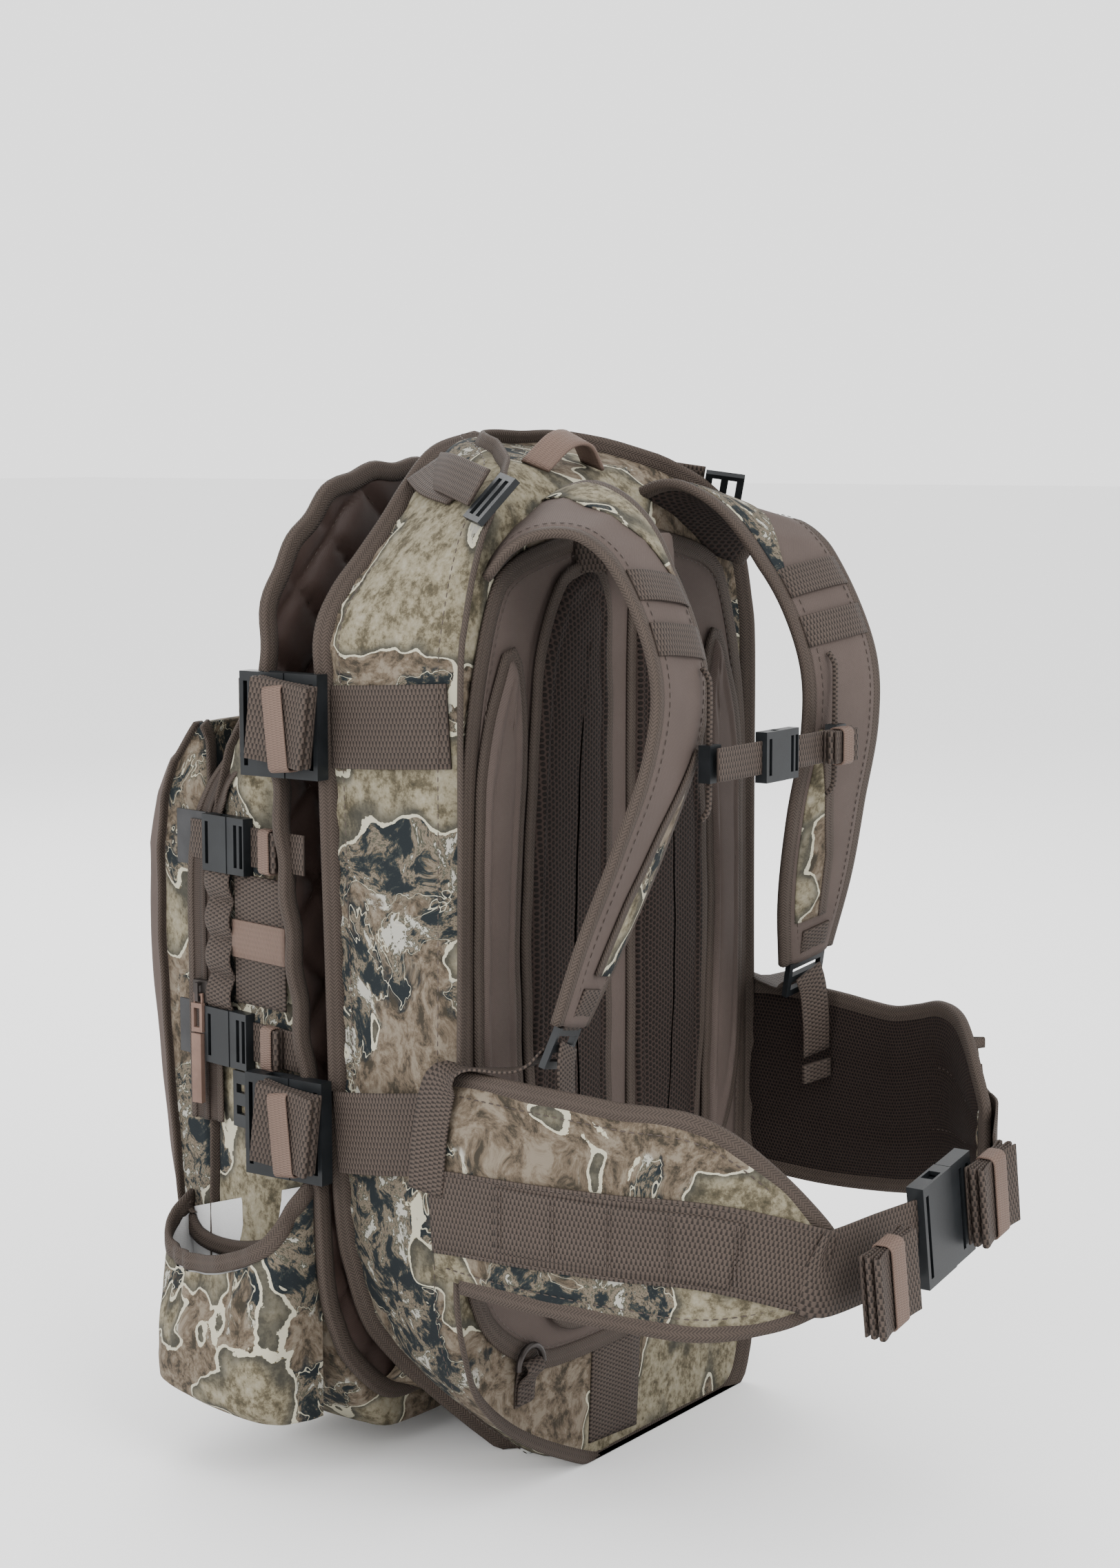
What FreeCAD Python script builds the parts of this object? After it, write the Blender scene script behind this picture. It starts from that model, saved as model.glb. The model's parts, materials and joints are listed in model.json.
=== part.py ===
"""Hunting backpack with a bow slot between its harness body and its outer module.

Millimetres, +Z up. Design axes: X across the pack, -Y towards the wearer, +Y towards the outer
pockets, Z from the bottom of the harness body. The finished pieces are moved so that the origin
is at the centre of the bottom of the whole pack's box.
"""
import FreeCAD
import Part
import math
import os

V = FreeCAD.Vector

# ---------------------------------------------------------------- driving sizes, mm
pack_height = 645.0          # harness body, bottom to top
pack_width = 326.0           # harness body at the hips
harness_depth = 100.0        # harness body, back panel to bow slot
slot_width = 50.0            # bow slot at its widest, near the top
outer_top_share = 0.782      # top of the outer module, as a height on the harness body
main_depth = 118.0           # main compartment, front to back at its base
pocket_depth = 77.0          # front pocket, beyond the main compartment
side_taper = 11.0            # degrees that the outer module narrows on each side
wall = 2.2                   # padded cloth wall of the bags
liner_thickness = 4.0
gap = 0.5                    # clearance between separate pieces
moving_gap = 1.0             # clearance beside pieces that move
strap_width = 63.0           # shoulder strap
strap_thickness = 11.0
strap_cant = 9.0             # degrees that each shoulder strap is turned inwards
belt_thickness = 13.0
belt_reach = 221.0           # from the back panel's plane to the tips of the belt
bottle_bulge = 57.0          # bottle pocket beyond the outer module's side
bottle_height = 146.0
pad_thickness = 13.0
wide_web = 50.0              # webbing of the compression straps and the belt
narrow_web = 25.0
chest_web = 20.0
web_thickness = 1.6
fold_thickness = 9.0         # a tail of webbing folded into a bundle
keeper_thickness = 1.2
slot_opening = 50.0          # travel of the outer module when its side straps are let out

back_plane = -8.0            # y of the harness body's flat back
half_width = pack_width / 2
taper = math.tan(math.radians(side_taper))


# ---------------------------------------------------------------- shape helpers
def curve(stations, t):
    """Value at t on straight lines between (t, value) stations."""
    if t <= stations[0][0]:
        return stations[0][1]
    for (t0, v0), (t1, v1) in zip(stations, stations[1:]):
        if t <= t1:
            return v0 + (v1 - v0) * (t - t0) / (t1 - t0)
    return stations[-1][1]


def rounded_wire(points, radius):
    """Closed wire through the points, with every corner rounded."""
    count = len(points)
    corners = []
    for i, point in enumerate(points):
        to_last = points[i - 1] - point
        to_next = points[(i + 1) % count] - point
        half = to_last.getAngle(to_next) / 2
        reach = min(radius / math.tan(half), 0.45 * to_last.Length, 0.45 * to_next.Length)
        arc_radius = reach * math.tan(half)
        to_last.normalize()
        to_next.normalize()
        middle_way = to_last + to_next
        middle_way.normalize()
        middle = point + middle_way * (arc_radius / math.sin(half) - arc_radius)
        corners.append((point + to_last * reach, middle, point + to_next * reach))
    edges = []
    for i, (start, middle, end) in enumerate(corners):
        edges.append(Part.Arc(start, middle, end).toShape())
        edges.append(Part.LineSegment(end, corners[(i + 1) % count][0]).toShape())
    return Part.Wire(edges)


def loft(wires):
    return Part.makeLoft(wires, True, True)


def box(x0, x1, y0, y1, z0, z1):
    return Part.makeBox(x1 - x0, y1 - y0, z1 - z0, V(x0, y0, z0))


def rod(start, end, radius):
    return Part.makeCylinder(radius, (end - start).Length, start, end - start)


def ribbon(path, across, width, thickness):
    """Flat band through the path's points. across is one direction, or one for each point."""
    wires = []
    last = len(path) - 1
    for i, point in enumerate(path):
        along = path[min(i + 1, last)] - path[max(i - 1, 0)]
        side = across[i] if isinstance(across, list) else across
        normal = along.cross(side)
        normal.normalize()
        side = normal.cross(along)
        side.normalize()
        wide = width[i] if isinstance(width, list) else width
        a = side * (wide / 2)
        b = normal * (thickness / 2)
        ring = [point - a - b, point + a - b, point + a + b, point - a + b]
        wires.append(Part.makePolygon(ring + [ring[0]]))
    return loft(wires)


def solids_of(shape, smallest=2.0):
    """The solids of a shape that are larger than a few cubic millimetres."""
    return [s for s in shape.Solids if s.Volume > smallest]


def clear_of(piece, *others):
    """The piece, trimmed where another piece already is."""
    for other in others:
        piece = piece.cut(other)
    return group(solids_of(piece))


def group(shapes):
    solids = [s for shape in shapes for s in shape.Solids]
    return solids[0] if len(solids) == 1 else Part.makeCompound(solids)


def mirrored(shape):
    return shape.mirror(V(0, 0, 0), V(1, 0, 0))


def both_sides(shape):
    return group([shape, mirrored(shape)])


def placed(shape, origin, x_way, y_way):
    """A piece drawn in its own axes, put at origin with its x and y ways turned."""
    x_way = V(x_way)
    x_way.normalize()
    z_way = x_way.cross(V(y_way))
    z_way.normalize()
    y_way = z_way.cross(x_way)
    turn = FreeCAD.Matrix(x_way.x, y_way.x, z_way.x, origin.x,
                          x_way.y, y_way.y, z_way.y, origin.y,
                          x_way.z, y_way.z, z_way.z, origin.z,
                          0, 0, 0, 1)
    return shape.transformGeometry(turn)


# ---------------------------------------------------------------- outlines of the bags
upper_back_shares = [(0.44, 0.975), (0.62, 0.965), (0.79, 0.96), (0.84, 0.93), (0.89, 0.87),
                     (0.927, 0.79), (0.96, 0.62), (0.985, 0.42), (1.0, 0.25)]
right_back_shares = [(0, 0.86), (0.02, 0.94), (0.06, 1.0), (0.2, 1.0)] + upper_back_shares
left_back_shares = [(0, 0.10), (0.04, 0.45), (0.075, 0.70), (0.116, 0.88), (0.15, 0.95),
                    (0.2, 0.98), (0.25, 1.0)] + upper_back_shares
slot_width_shares = [(0, 0.20), (0.03, 0.32), (0.065, 0.44), (0.105, 0.58), (0.15, 0.72), (0.2, 0.80),
                     (0.29, 0.87), (0.53, 0.90), (0.76, 0.93), (0.82, 0.94), (0.856, 0.853),
                     (0.888, 0.705), (0.922, 0.552), (0.955, 0.417), (0.986, 0.295), (1.0, 0.22)]
slot_face_shares = [(0, 0.42), (0.03, 0.60), (0.065, 0.75), (0.105, 0.88), (0.15, 0.95), (0.23, 0.985),
                    (0.55, 0.985), (0.76, 1.0), (1.0, 1.0)]
back_lean_shares = [(0, 0), (0.93, 0), (0.955, 0.08), (0.975, 0.22), (0.99, 0.45), (1.0, 0.74)]
slot_shares = [(0.08, 0.14), (0.23, 0.20), (0.30, 0.24), (0.37, 0.38), (0.46, 0.54), (0.61, 0.76),
               (0.68, 0.82), (0.79, 1.0)]


def harness_back_width(z, side):
    """Half width at the back panel; the lower corner is cut away further on the left."""
    shares = right_back_shares if side > 0 else left_back_shares
    return half_width * curve(shares, z / pack_height)


def harness_slot_width(z):
    return half_width * curve(slot_width_shares, z / pack_height)


def harness_side_x(y, z):
    """Half width at a depth y on the tapering side panel."""
    share = (y - back_plane) / (harness_slot_y(z) - back_plane)
    wide = harness_back_width(z, 1)
    return wide + (harness_slot_width(z) - wide) * max(0.0, min(1.0, share))


def harness_slot_y(z):
    return back_plane + harness_depth * curve(slot_face_shares, z / pack_height)


def harness_back_y(z):
    return back_plane + harness_depth * curve(back_lean_shares, z / pack_height)


def liner_y(z):
    """Slot side of the liner."""
    widest = back_plane + harness_depth * 0.985
    return widest + slot_width * curve(slot_shares, z / pack_height)


main_top = pack_height * outer_top_share
main_bottom = pack_height * 0.025
outer_front = liner_y(pack_height * 0.2)          # where the outer module's side taper starts
outer_half_width = half_width * 0.935


def outer_side_x(y):
    """Half width of the outer module at a depth y."""
    return outer_half_width - taper * (y - outer_front)


outer_arch = [(0, 0.62), (0.05, 0.80), (0.1, 0.91), (0.17, 1.0)]
main_back_shares = [(0.0, 0.82), (0.06, 0.98), (0.2, 1.0), (0.52, 0.99), (0.75, 0.94), (0.83, 0.9),
                    (0.9, 0.8), (0.95, 0.64), (0.98, 0.50), (1.0, 0.42)]
pocket_shares = [(0.1, 0.30), (0.17, 0.50), (0.26, 0.64), (0.34, 0.76), (0.50, 0.92), (0.62, 1.0),
                 (0.75, 1.0), (0.82, 0.88), (0.87, 0.66), (0.905, 0.36), (0.925, 0.12)]


def main_back_y(z):
    share = (z - main_bottom) / (main_top - main_bottom)
    return outer_front + main_depth * curve(main_back_shares, share)


def pocket_back_y(z):
    share = (z - main_bottom) / (main_top - main_bottom)
    return outer_front + main_depth + pocket_depth * curve(pocket_shares, share)


def bag(levels, outline, thickness):
    """Hollow bag lofted through outlines, one at each level."""
    outside = loft([outline(z, 0) for z in levels])
    low, high = levels[0] + thickness, levels[-1] - thickness
    inside_levels = [low] + [z for z in levels if low < z < high] + [high]
    return outside, outside.cut(loft([outline(z, thickness) for z in inside_levels]))


# ---------------------------------------------------------------- harness body
def harness_outline(z, inset):
    front = harness_back_y(z) + inset
    back = harness_slot_y(z) - inset
    slot_wide = harness_slot_width(z) - inset
    ring = [V(inset - harness_back_width(z, -1), front, z), V(harness_back_width(z, 1) - inset, front, z),
            V(slot_wide, back, z), V(-slot_wide, back, z)]
    return rounded_wire(ring, 9.0)


harness_levels = [pack_height * share for share in (
    0, 0.03, 0.065, 0.105, 0.15, 0.2, 0.29, 0.44, 0.62, 0.76, 0.82, 0.856, 0.888, 0.922, 0.955,
    0.975, 0.986, 1.0)]
harness_solid, harness_shell = bag(harness_levels, harness_outline, wall)

sheet_thickness = 1.8
stay_width = 25.0
stay_thickness = 3.0
stay_half_spacing = pack_width * 0.2
sheet_y = back_plane + wall + gap
frame_sheet = box(-half_width * 0.78, half_width * 0.78, sheet_y, sheet_y + sheet_thickness,
                  pack_height * 0.14, pack_height * 0.85)
stay_y = sheet_y + sheet_thickness + gap
frame_stays = group([
    box(x - stay_width / 2, x + stay_width / 2, stay_y, stay_y + stay_thickness,
        pack_height * 0.15, pack_height * 0.84)
    for x in (-stay_half_spacing, stay_half_spacing)])

# ---------------------------------------------------------------- back panel and pads
panel_thickness = 3.0
panel_y = back_plane - gap - panel_thickness / 2


def panel_plate(outline, y_near, thickness):
    """Plate of an x-z outline, its near face at y_near and its thickness towards the wearer."""
    wire = rounded_wire([V(x * half_width, y_near, z * pack_height) for x, z in outline], 14.0)
    return Part.Face(wire).extrude(V(0, -thickness, 0))


back_panel = panel_plate([(-0.93, 0.20), (-0.50, 0.115), (0.50, 0.115), (0.93, 0.20), (0.90, 0.70),
                          (0.66, 0.86), (-0.66, 0.86), (-0.90, 0.70)], back_plane - gap, panel_thickness)
pad_y = back_plane - gap - panel_thickness - gap
mesh_pad_right = panel_plate([(0.09, 0.22), (0.50, 0.22), (0.62, 0.45), (0.50, 0.845), (0.06, 0.845),
                              (0.05, 0.45)], pad_y, pad_thickness)
mesh_pad_left = mirrored(mesh_pad_right)
side_pad_right = panel_plate([(0.60, 0.23), (0.88, 0.40), (0.86, 0.74), (0.66, 0.825), (0.58, 0.72),
                              (0.69, 0.45)], pad_y, pad_thickness * 0.8)
side_pad_left = mirrored(side_pad_right)
spine_binding = panel_plate([(-0.035, 0.21), (0.035, 0.21), (0.035, 0.86), (-0.035, 0.86)],
                            pad_y, 4.0)

# ---------------------------------------------------------------- shoulder straps
strap_stations = [(94, 2, 588), (90, -30, 604), (88, -68, 594), (90, -98, 560), (93, -118, 512),
                  (99, -117, 466), (109, -102, 412), (124, -86, 358), (137, -72, 310)]
strap_design_height = 645.0


def strap_point(x, y, z):
    """A strap station, kept in place on a harness of another height or width."""
    return V(x * half_width / 163.0, y + (back_plane + 8.0), z * pack_height / strap_design_height)


strap_path = [strap_point(*station) for station in strap_stations]
cant = math.radians(strap_cant)
strap_across = V(math.cos(cant), math.sin(cant) * -1, 0)
strap_widths = [strap_width * share for share in (1.65, 1.45, 1.2, 1.03, 1, 1, 1, 0.92, 0.62)]
root_slope = V(0.85, 0, -0.53)               # way along the strap's sewn root
strap_acrosses = [root_slope, root_slope * 0.6 + strap_across * 0.4,
                  root_slope * 0.25 + strap_across * 0.75] + [strap_across] * (len(strap_path) - 3)
shoulder_strap_right = clear_of(ribbon(strap_path, strap_acrosses, strap_widths, strap_thickness),
                                harness_solid, back_panel, mesh_pad_right, side_pad_right)
shoulder_strap_left = mirrored(shoulder_strap_right)


def strap_frame(index, offset_out, offset_across=0.0):
    """A point off the strap's outer face at a station, with the way outwards and along."""
    along = strap_path[min(index + 1, len(strap_path) - 1)] - strap_path[index - 1]
    along.normalize()
    out = along.cross(strap_across)
    out.normalize()
    if out.y > 0:
        out = out * -1
    across = out.cross(along)
    return strap_path[index] + out * offset_out + across * offset_across, out, along


parts = {}
parts["harness_shell"] = harness_shell
parts["frame_sheet"] = frame_sheet
parts["frame_stays"] = frame_stays
parts["back_panel"] = back_panel
parts["mesh_pads"] = group([mesh_pad_left, mesh_pad_right])
parts["side_pads"] = group([side_pad_left, side_pad_right])
parts["spine_binding"] = spine_binding
parts["shoulder_strap_left"] = shoulder_strap_left
parts["shoulder_strap_right"] = shoulder_strap_right


# ---------------------------------------------------------------- outer module
def main_outline(z, inset):
    front = liner_y(z) + liner_thickness + gap + inset
    back = main_back_y(z) - inset
    arch = curve(outer_arch, (z - main_bottom) / (main_top - main_bottom))
    wide_front = outer_side_x(front) * arch - inset
    wide_back = outer_side_x(back) * arch - inset
    ring = [V(-wide_front, front, z), V(wide_front, front, z), V(wide_back, back, z),
            V(-wide_back, back, z)]
    return rounded_wire(ring, 8.0)


main_levels = [main_bottom + (main_top - main_bottom) * share
               for share in (0, 0.05, 0.1, 0.17, 0.36, 0.52, 0.75, 0.83, 0.9, 0.95, 0.98, 1.0)]
main_solid, main_compartment = bag(main_levels, main_outline, wall)


def pocket_outline(z, inset):
    front = outer_front + main_depth + gap + inset
    back = pocket_back_y(z) - inset
    wide_front = outer_side_x(front) - 1.0 - inset
    wide_back = outer_side_x(back) - 10.0 - inset
    ring = [V(-wide_front, front, z), V(wide_front, front, z), V(wide_back, back, z),
            V(-wide_back, back, z)]
    return rounded_wire(ring, 7.0)


pocket_levels = [main_bottom + (main_top - main_bottom) * share
                 for share in (0.1, 0.17, 0.26, 0.34, 0.5, 0.62, 0.75, 0.82, 0.87, 0.905, 0.925)]
pocket_solid, front_pocket = bag(pocket_levels, pocket_outline, wall)

# the liner backs the slot: it stands on the front of the main compartment and ends in an arch above
liner_middle = liner_thickness / 2
liner_shares = [(0.07, 0.58), (0.12, 0.79), (0.157, 0.87), (0.19, 0.91), (0.25, 0.93), (0.37, 0.93),
                (0.46, 0.93), (0.61, 0.93), (0.68, 0.93), (0.782, 0.93), (0.82, 0.94), (0.856, 0.91),
                (0.885, 0.84), (0.905, 0.745), (0.92, 0.66), (0.94, 0.60), (0.955, 0.49), (0.97, 0.28)]
liner_path = [V(0, liner_y(min(pack_height * share, main_top)) + liner_middle, pack_height * share)
              for share, wide in liner_shares]
liner_widths = [2 * min(half_width * wide, outer_side_x(p.y) - 2.0)
                for p, (share, wide) in zip(liner_path, liner_shares)]
slot_liner = clear_of(ribbon(liner_path, V(1, 0, 0), liner_widths, liner_thickness), main_solid)

# ---------------------------------------------------------------- bottle pockets
bottle_bottom = pack_height * 0.07
bottle_front_y = outer_front + 6.0
bottle_back_y = outer_front + main_depth + 18.0
bottle_wall = 2.0


def bottle_outline(z, inset):
    swell = curve([(0, 0.72), (0.25, 1.0), (0.6, 0.96), (1.0, 0.80)],
                  (z - bottle_bottom) / bottle_height)
    front = bottle_front_y + inset
    back = bottle_back_y - inset
    inner_front = outer_side_x(bottle_front_y) + gap + inset
    inner_back = outer_side_x(bottle_back_y) + gap + inset
    outer_one = outer_side_x(bottle_front_y) + bottle_bulge * swell * 0.85 - inset
    outer_two = outer_side_x(bottle_back_y) + bottle_bulge * swell * 0.92 - inset
    middle_y = bottle_front_y + (bottle_back_y - bottle_front_y) * 0.5
    outer_middle = outer_side_x(middle_y) + bottle_bulge * swell - inset
    ring = [V(inner_front, front, z), V(outer_one, front + 8.0, z), V(outer_middle, middle_y, z),
            V(outer_two, back - 16.0, z), V(inner_back, back, z)]
    return rounded_wire(ring, 9.0)


bottle_levels = [bottle_bottom + bottle_height * share for share in (0, 0.12, 0.25, 0.6, 1.0)]
bottle_solid = loft([bottle_outline(z, 0) for z in bottle_levels])
bottle_inside = loft([bottle_outline(z, bottle_wall)
                      for z in [bottle_bottom + bottle_wall] + bottle_levels[1:-1]
                      + [bottle_levels[-1] + 1.0]])
mouth_drop = 70.0            # the mouth slopes down towards the outer pockets
mouth_top = bottle_bottom + bottle_height
mouth_cut = Part.Face(Part.makePolygon([
    V(0, bottle_front_y - 5.0, mouth_top + 40.0), V(0, bottle_front_y - 5.0, mouth_top),
    V(0, bottle_front_y + 12.0, mouth_top), V(0, bottle_back_y + 5.0, mouth_top - mouth_drop),
    V(0, bottle_back_y + 5.0, mouth_top + 40.0), V(0, bottle_front_y - 5.0, mouth_top + 40.0)]))
mouth_cut = mouth_cut.extrude(V(half_width * 2, 0, 0))
bottle_pocket_right = bottle_solid.cut(bottle_inside).cut(mouth_cut)
bottle_pocket_left = mirrored(bottle_pocket_right)

parts["slot_liner"] = slot_liner
parts["main_compartment"] = main_compartment
parts["front_pocket"] = front_pocket
parts["bottle_pocket_left"] = bottle_pocket_left
parts["bottle_pocket_right"] = bottle_pocket_right


# ---------------------------------------------------------------- side-release buckles
class Buckle:
    """Sizes of a side-release buckle for one width of webbing, and its two halves.

    In its own axes the plug leaves along +x, the width lies along z, the thickness along y, and
    the socket's mouth is at x = 0.
    """

    def __init__(self, web):
        self.web = web
        self.width = 1.12 * web + 8.0
        self.thickness = 6.0 + 0.1 * web
        self.socket = 0.42 * web + 14.0
        self.tail = 0.10 * web + 7.0       # part of the socket that holds its webbing
        self.body = 0.34 * web + 9.0       # plug outside the socket
        self.prong = self.socket - self.tail - 1.5
        self.side = 0.06 * web + 3.0       # breadth of one prong
        self.skin = 1.6
        self.slot = web_thickness + 1.6

    def slab(self, x0, x1, wide, thick):
        return box(x0, x1, -thick / 2, thick / 2, -wide / 2, wide / 2)

    def socket_half(self):
        shape = self.slab(-self.socket, 0, self.width, self.thickness)
        hollow = self.slab(-self.socket + self.tail, 1, self.width - 2 * self.skin - 2,
                           self.thickness - 2 * self.skin)
        window = self.slab(-self.socket + self.tail + 3, -self.socket + self.tail + 3 + self.prong * 0.5,
                           self.width + 2, self.thickness - 2 * self.skin)
        bar_gap = box(-self.socket + 3, -self.socket + 3 + self.slot, -self.thickness, self.thickness,
                      -self.web / 2 - 1, self.web / 2 + 1)
        return shape.cut(hollow).cut(window).cut(bar_gap)

    def plug_half(self):
        shape = self.slab(gap, self.body, self.width, self.thickness * 0.9)
        for start in (self.body * 0.42, self.body * 0.75):
            shape = shape.cut(box(start, start + self.slot, -self.thickness, self.thickness,
                                  -self.web / 2 - 1, self.web / 2 + 1))
        thick = self.thickness - 2 * self.skin - 1.2
        reach = (self.width - 2 * self.skin - 2) / 2 - 1.0
        pieces = [shape]
        for low in (-reach, reach - self.side):
            pieces.append(box(-self.prong, gap + 1, -thick / 2, thick / 2, low, low + self.side))
        pieces.append(box(-self.prong * 0.8, gap + 1, -thick / 2, thick / 2,
                          -self.side * 0.5, self.side * 0.5))
        fused = pieces[0]
        for piece in pieces[1:]:
            fused = fused.fuse(piece)
        return fused.removeSplitter()


wide_buckle = Buckle(wide_web)
narrow_buckle = Buckle(narrow_web)
chest_buckle = Buckle(chest_web)


def ladder_lock(web):
    """Frame with two gaps for webbing. Its length is along x and its width along z."""
    wide = web + 9.0
    long = 0.42 * web + 15.0
    thick = 4.0
    frame = box(0, long, -thick / 2, thick / 2, -wide / 2, wide / 2)
    bar = (long - 2 * (web_thickness * 2 + 2.5)) / 3
    for start in (bar, 2 * bar + web_thickness * 2 + 2.5):
        frame = frame.cut(box(start, start + web_thickness * 2 + 2.5, -thick, thick,
                              -web / 2 - 1, web / 2 + 1))
    return frame


def folded_tail(length, web, thick=fold_thickness):
    """Webbing folded to and fro, held flat. Its length is along x, its width along z."""
    return box(0, length, -thick / 2, thick / 2, -web / 2, web / 2)


def keeper_band(web, thick_inside, breadth=24.0):
    """Elastic band round a folded tail."""
    outer_thick = thick_inside + 2 * keeper_thickness + 0.6
    inner_thick = thick_inside + 0.6
    wide = web + 2 * keeper_thickness + 1.0
    band = box(0, breadth, -outer_thick / 2, outer_thick / 2, -wide / 2, wide / 2)
    return band.cut(box(-1, breadth + 1, -inner_thick / 2, inner_thick / 2,
                        -web / 2 - 0.5, web / 2 + 0.5))


# ---------------------------------------------------------------- compression straps, each side
upper_strap_z = pack_height * 0.737
lower_strap_z = bottle_bottom + bottle_height + wide_buckle.width / 2 + 2.6
strap_root_y = back_plane + harness_depth * 0.17
plug_y = back_plane + harness_depth * 1.0        # where the plug's body starts, over the slot


def compression_set(z, root_rise):
    """Webbing, folded tail, keeper and buckle halves on the right side at height z."""
    side = max(harness_slot_width(z + wide_web / 2), outer_half_width) + gap
    centre = side + wide_buckle.thickness / 2 + moving_gap + 1.5
    mouth_y = plug_y + wide_buckle.body
    plug = placed(wide_buckle.plug_half(), V(centre, mouth_y, z), V(0, -1, 0), V(1, 0, 0))
    socket = placed(wide_buckle.socket_half(), V(centre, mouth_y, z), V(0, -1, 0), V(1, 0, 0))
    middle = side + web_thickness / 2 + gap
    web_end = plug_y - 1.0
    proud = web_thickness / 2 + gap + 1.0
    half_y = strap_root_y + (web_end - strap_root_y) * 0.5
    web = ribbon([V(harness_side_x(strap_root_y, z) + proud, strap_root_y, z + root_rise),
                  V(max(harness_side_x(half_y, z) + proud, middle), half_y, z + root_rise * 0.4),
                  V(middle, web_end, z)], V(0, 0, 1), wide_web, web_thickness)
    tail_x = centre + wide_buckle.thickness / 2 + gap + fold_thickness / 2 + keeper_thickness + 0.5
    tail_y = plug_y + 2.0
    tail = placed(folded_tail(44.0, wide_web), V(tail_x, tail_y, z), V(0, 1, 0), V(-1, 0, 0))
    keeper = placed(keeper_band(wide_web, fold_thickness), V(tail_x, tail_y + 10.0, z),
                    V(0, 1, 0), V(-1, 0, 0))
    tab_start = mouth_y + wide_buckle.socket - 1.0
    tab_x = outer_side_x(tab_start)
    tab = ribbon([V(centre, tab_start + 2.0, z), V(tab_x + 7.0, tab_start + 9.0, z),
                  V(outer_side_x(tab_start + 22.0) + web_thickness / 2 + gap, tab_start + 22.0, z)],
                 V(0, 0, 1), wide_web, web_thickness)
    return plug, socket, web, tail, keeper, tab


upper_set = compression_set(upper_strap_z, 6.0)
lower_set = compression_set(lower_strap_z, 14.0)


def side_group(index, blockers=()):
    pieces = [clear_of(s[index], *blockers) for s in (upper_set, lower_set)]
    return both_sides(group(pieces))


parts["compression_plugs"] = side_group(0)
parts["compression_sockets"] = side_group(1)
parts["compression_webs"] = side_group(2, (harness_solid,))
parts["compression_tails"] = side_group(3)
parts["compression_keepers"] = side_group(4)
socket_tabs = side_group(5, (main_solid, slot_liner))


# ---------------------------------------------------------------- outer module's side hardware
def side_strap(stations, web, offset=0.0):
    """Webbing on the right side of the outer module through (y, z) stations."""
    lift = gap + web_thickness / 2 + offset
    path = [V(outer_side_x(y) + lift / math.cos(taper), y, z) for y, z in stations]
    lies_level = abs(stations[-1][0] - stations[0][0]) > abs(stations[-1][1] - stations[0][1])
    across = V(0, 0, 1) if lies_level else V(-taper, 1, 0)
    return ribbon(path, across, web, web_thickness)


side_along = V(-taper, 1, 0)                     # way along the outer module's side, backwards
side_along.normalize()
upper_molle_z = pack_height * 0.612
lower_molle_z = lower_strap_z + wide_buckle.width / 2 + narrow_web / 2 + 0.65
wide_column_y = outer_front + main_depth * 0.475
daisy_y = outer_front + main_depth * 0.80
column_top = upper_molle_z + 4.0
column_foot = lower_molle_z + narrow_buckle.width / 2 + 5.0

wide_column = side_strap([(wide_column_y, column_foot), (wide_column_y, column_top - 26.0)], wide_web)
daisy_chain = side_strap([(daisy_y, column_foot), (daisy_y, column_top - 26.0)], narrow_web)
lock_z = lower_molle_z - narrow_buckle.width / 2 - 3.0
lock_origin = V(outer_side_x(wide_column_y) + gap + 3.0, wide_column_y, lock_z)
wide_lock = placed(ladder_lock(wide_web), lock_origin, V(0, 0, -1), V(1, taper, 0))

parts["column_ladder_locks"] = both_sides(clear_of(wide_lock, main_solid))
side_columns = clear_of(group([wide_column, daisy_chain]), main_solid)
parts["side_webbing"] = clear_of(group([both_sides(side_columns), socket_tabs]),
                                 parts["column_ladder_locks"])

molle_mouth_y = outer_front + main_depth * 0.70   # mouth of the small buckles' sockets
molle_travel = 12.0
small_fold = 5.0
small_fold_length = 15.0


def small_buckle(z):
    """Small side-release buckle on the outer module's side, its socket nearer the pockets."""
    lift = gap + narrow_buckle.thickness / 2 + web_thickness + gap
    origin = V(outer_side_x(molle_mouth_y) + lift, molle_mouth_y, z)
    way = side_along * -1
    plug = placed(narrow_buckle.plug_half(), origin, way, V(1, taper, 0))
    socket = placed(narrow_buckle.socket_half(), origin, way, V(1, taper, 0))
    start_y = molle_mouth_y - (narrow_buckle.body + molle_travel + 3.0)
    front_web = side_strap([(start_y - 15.0, z), (start_y, z)], narrow_web, 4.0)
    tail_y = start_y + small_fold_length - 15.0
    tail_origin = V(outer_side_x(tail_y) + web_thickness + small_fold / 2 + 5.0, tail_y, z)
    tail = placed(folded_tail(small_fold_length, narrow_web, small_fold), tail_origin, way, V(1, taper, 0))
    patch_y = molle_mouth_y + narrow_buckle.socket + 4.0
    patch = side_strap([(patch_y, z), (patch_y + 30.0, z)], narrow_web + 10.0, 2.0)
    return plug, socket, front_web, tail, patch


upper_small = small_buckle(upper_molle_z)
lower_small = small_buckle(lower_molle_z)
for label, small in (("upper", upper_small), ("lower", lower_small)):
    parts["small_plug_" + label + "_right"] = small[0]
    parts["small_plug_" + label + "_left"] = mirrored(small[0])
parts["small_sockets"] = both_sides(group([upper_small[1], lower_small[1]]))
small_webs = clear_of(group([upper_small[2], lower_small[2]]), main_solid,
                      parts["column_ladder_locks"], parts["side_webbing"])
small_tails = clear_of(group([upper_small[3], lower_small[3]]), parts["column_ladder_locks"],
                       small_webs, parts["side_webbing"])
parts["small_webs"] = both_sides(group([small_webs, small_tails]))
parts["rubber_patches"] = both_sides(clear_of(group([upper_small[4], lower_small[4]]),
                                              pocket_solid, main_solid))

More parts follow.
